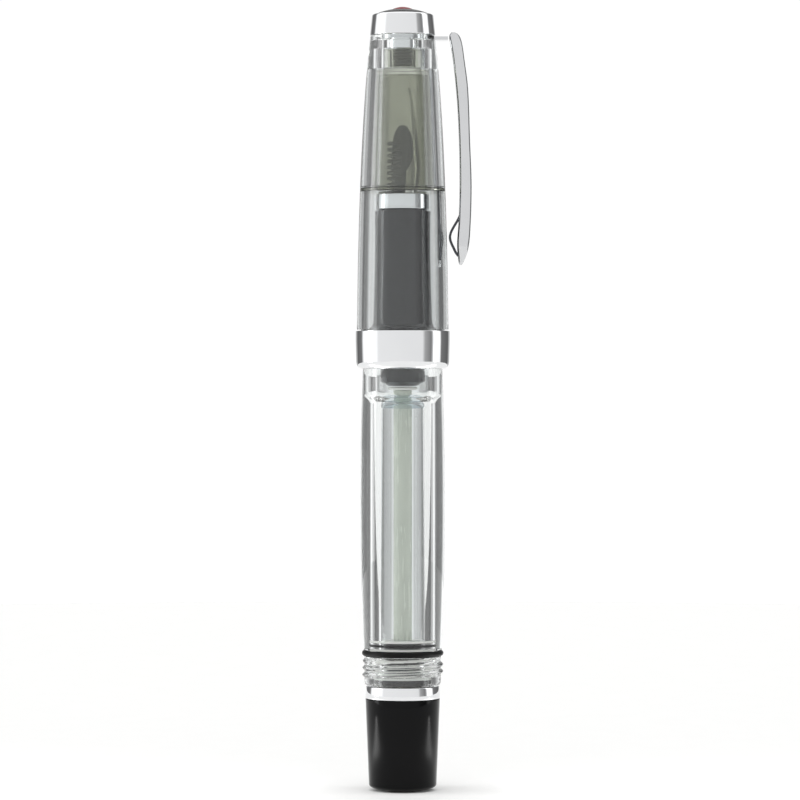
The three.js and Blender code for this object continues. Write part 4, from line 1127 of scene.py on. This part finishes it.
# %% Finishes for the kept pieces
for node, material, slot in (
    ("knob_thread_insert", brass, "turned_brass"), ("gland_nut", brass, "turned_brass"),
    ("rod_oring_upper", rubber, "black_rubber"), ("rod_oring_lower", rubber, "black_rubber"),
    ("section_oring", rubber, "black_rubber"), ("rod_seal_washer", white_plastic, "white_plastic"),
    ("nib_collar", black_matt, "black_matt_plastic"),
):
    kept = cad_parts[node]
    kept.data.materials.clear()
    kept.data.materials.append(material)
    print(f"{node}: kept, in {material.name}")

# %% [markdown]
# ## Floor and light
#
# The pen stands on a plain white disc. Its size matters: past its edge the clear barrel shows the
# room's horizon, and a larger floor would fill the plastic with plain white.

# %% Floor
floor_shape = bmesh.new()
bmesh.ops.create_circle(floor_shape, cap_ends=True, segments=96, radius=0.5)
floor = bpy.data.objects.new("floor", mesh_from("floor", floor_shape))
bpy.context.scene.collection.objects.link(floor)
floor.data.materials.append(surface("white_paper_sweep", "#F8F8F7", "#F6F6F5", (0.7, 0.9), 1.0, 0.01))
for face in floor.data.polygons:
    if face.normal.z < 0:
        floor.data.flip_normals()
        break
print("floor:", round(floor.dimensions.x, 2), "m across")

# %% [markdown]
# Clear plastic has no look of its own: it shows the room, bent. Area lamps round the pen could light
# it, but they would leave black between them. Here the world itself is a white room with two soft boxes
# and darker gaps beside them, written as brightness round the horizon. The gaps draw the grey lines in
# the plastic and the dark edges on the chrome.

# %% Room light
# Each stop is a bearing in degrees and the brightness there. Bearing 0 points from the pen to the camera.
ROOM_PEAK = 5.0
HORIZON = [
    (-180, 1.02), (-171, 1.02), (-168, 0.55), (-154, 0.5), (-146, 0.13), (-121, 0.2), (-112, 1.25),
    (-98, 1.25), (-95, 4.2), (-82, 4.2), (-79, 1.25), (-68, 1.25), (-62, 0.95), (50, 0.9), (57, 0.42),
    (75, 0.22), (82, 1.0), (84, 2.4), (92, 2.4), (95, 1.25), (104, 1.25), (110, 0.2), (146, 0.12),
    (154, 0.5), (168, 0.55), (171, 1.02), (180, 1.02),
]
world = bpy.data.worlds.new("soft_room")
bpy.context.scene.world = world
world.use_nodes = True
room = world.node_tree
room.nodes.clear()
look = add_node(room, "ShaderNodeSeparateXYZ", {0: add_node(room, "ShaderNodeTexCoord").outputs["Generated"]})
ahead = add_node(room, "ShaderNodeMath", {0: look.outputs["Y"], 1: -1.0}, operation="MULTIPLY")
bearing = add_node(room, "ShaderNodeMath", {0: look.outputs["X"], 1: ahead}, operation="ARCTAN2")
share = add_node(room, "ShaderNodeMapRange", {"Value": bearing, "From Min": -math.pi, "From Max": math.pi})
ramp = add_node(room, "ShaderNodeValToRGB", {"Fac": share})
stops = ramp.color_ramp.elements
stops.remove(stops[1])
for place, (degrees, bright) in enumerate(HORIZON):
    stop = stops[0] if place == 0 else stops.new((degrees + 180) / 360)
    stop.position = (degrees + 180) / 360
    stop.color = [bright / ROOM_PEAK] * 3 + [1]
high_up = add_node(room, "ShaderNodeMapRange", {"Value": look.outputs["Z"], "From Min": 0.5, "From Max": 0.7})
sky = add_node(room, "ShaderNodeMix", {
    "Factor": high_up, 6: ramp, 7: [1.19 / ROOM_PEAK] * 3 + [1],
}, data_type="RGBA")
glow = add_node(room, "ShaderNodeBackground", {"Color": sky.outputs[2], "Strength": ROOM_PEAK})
add_node(room, "ShaderNodeOutputWorld", {"Surface": glow})
print("room:", len(HORIZON), "brightness stops round the horizon")

# %% [markdown]
# Low on the table, a gloss black knob only mirrors the floor. Two long narrow lamps lie just over the
# floor on either side and shine straight down. They leave bright strips on it, and the strips show as
# the two upright highlights on the knob.

# %% Floor lamps
lamp_out, lamp_height = 0.095, 0.008
for side, watts in ((-1, 0.05), (1, 0.04)):
    lamp = bpy.data.objects.new("floor_lamp", bpy.data.lights.new("floor_lamp", "AREA"))
    lamp.data.shape, lamp.data.size, lamp.data.size_y = "RECTANGLE", 0.13, 0.016
    lamp.data.energy = watts
    lamp.location = (side * lamp_out, 0, lamp_height)
    bpy.context.scene.collection.objects.link(lamp)
    print(f"floor lamp: {watts} W at {lamp.location.x:.3f} m")

# %% [markdown]
# ## Camera and light paths
#
# A long lens at the pen's own height keeps its sides parallel. Clear parts inside clear parts need
# many bounces before a ray gets out again, so the limits are raised.

# %% Camera
scene = bpy.context.scene
camera = bpy.data.objects.new("camera", bpy.data.cameras.new("camera"))
scene.collection.objects.link(camera)
eye_side, eye_away, eye_height = -0.00044, 0.58, 0.0665
camera.location = (eye_side, -eye_away, eye_height)
camera.rotation_euler = (math.pi / 2, 0, 0)
camera.data.sensor_width, camera.data.lens = 36, 159.7
camera.data.shift_y = -0.0214
camera.data.clip_start, camera.data.clip_end = 0.01, 10
scene.camera = camera
scene.view_settings.view_transform = "Standard"
scene.cycles.max_bounces = 28
scene.cycles.transmission_bounces = 28
scene.cycles.glossy_bounces = 10
scene.cycles.diffuse_bounces = 4
scene.cycles.caustics_refractive = True
scene.cycles.caustics_reflective = True
scene.cycles.blur_glossy = 0.3
print("camera", round(eye_away / MM), "mm away, lens", camera.data.lens)
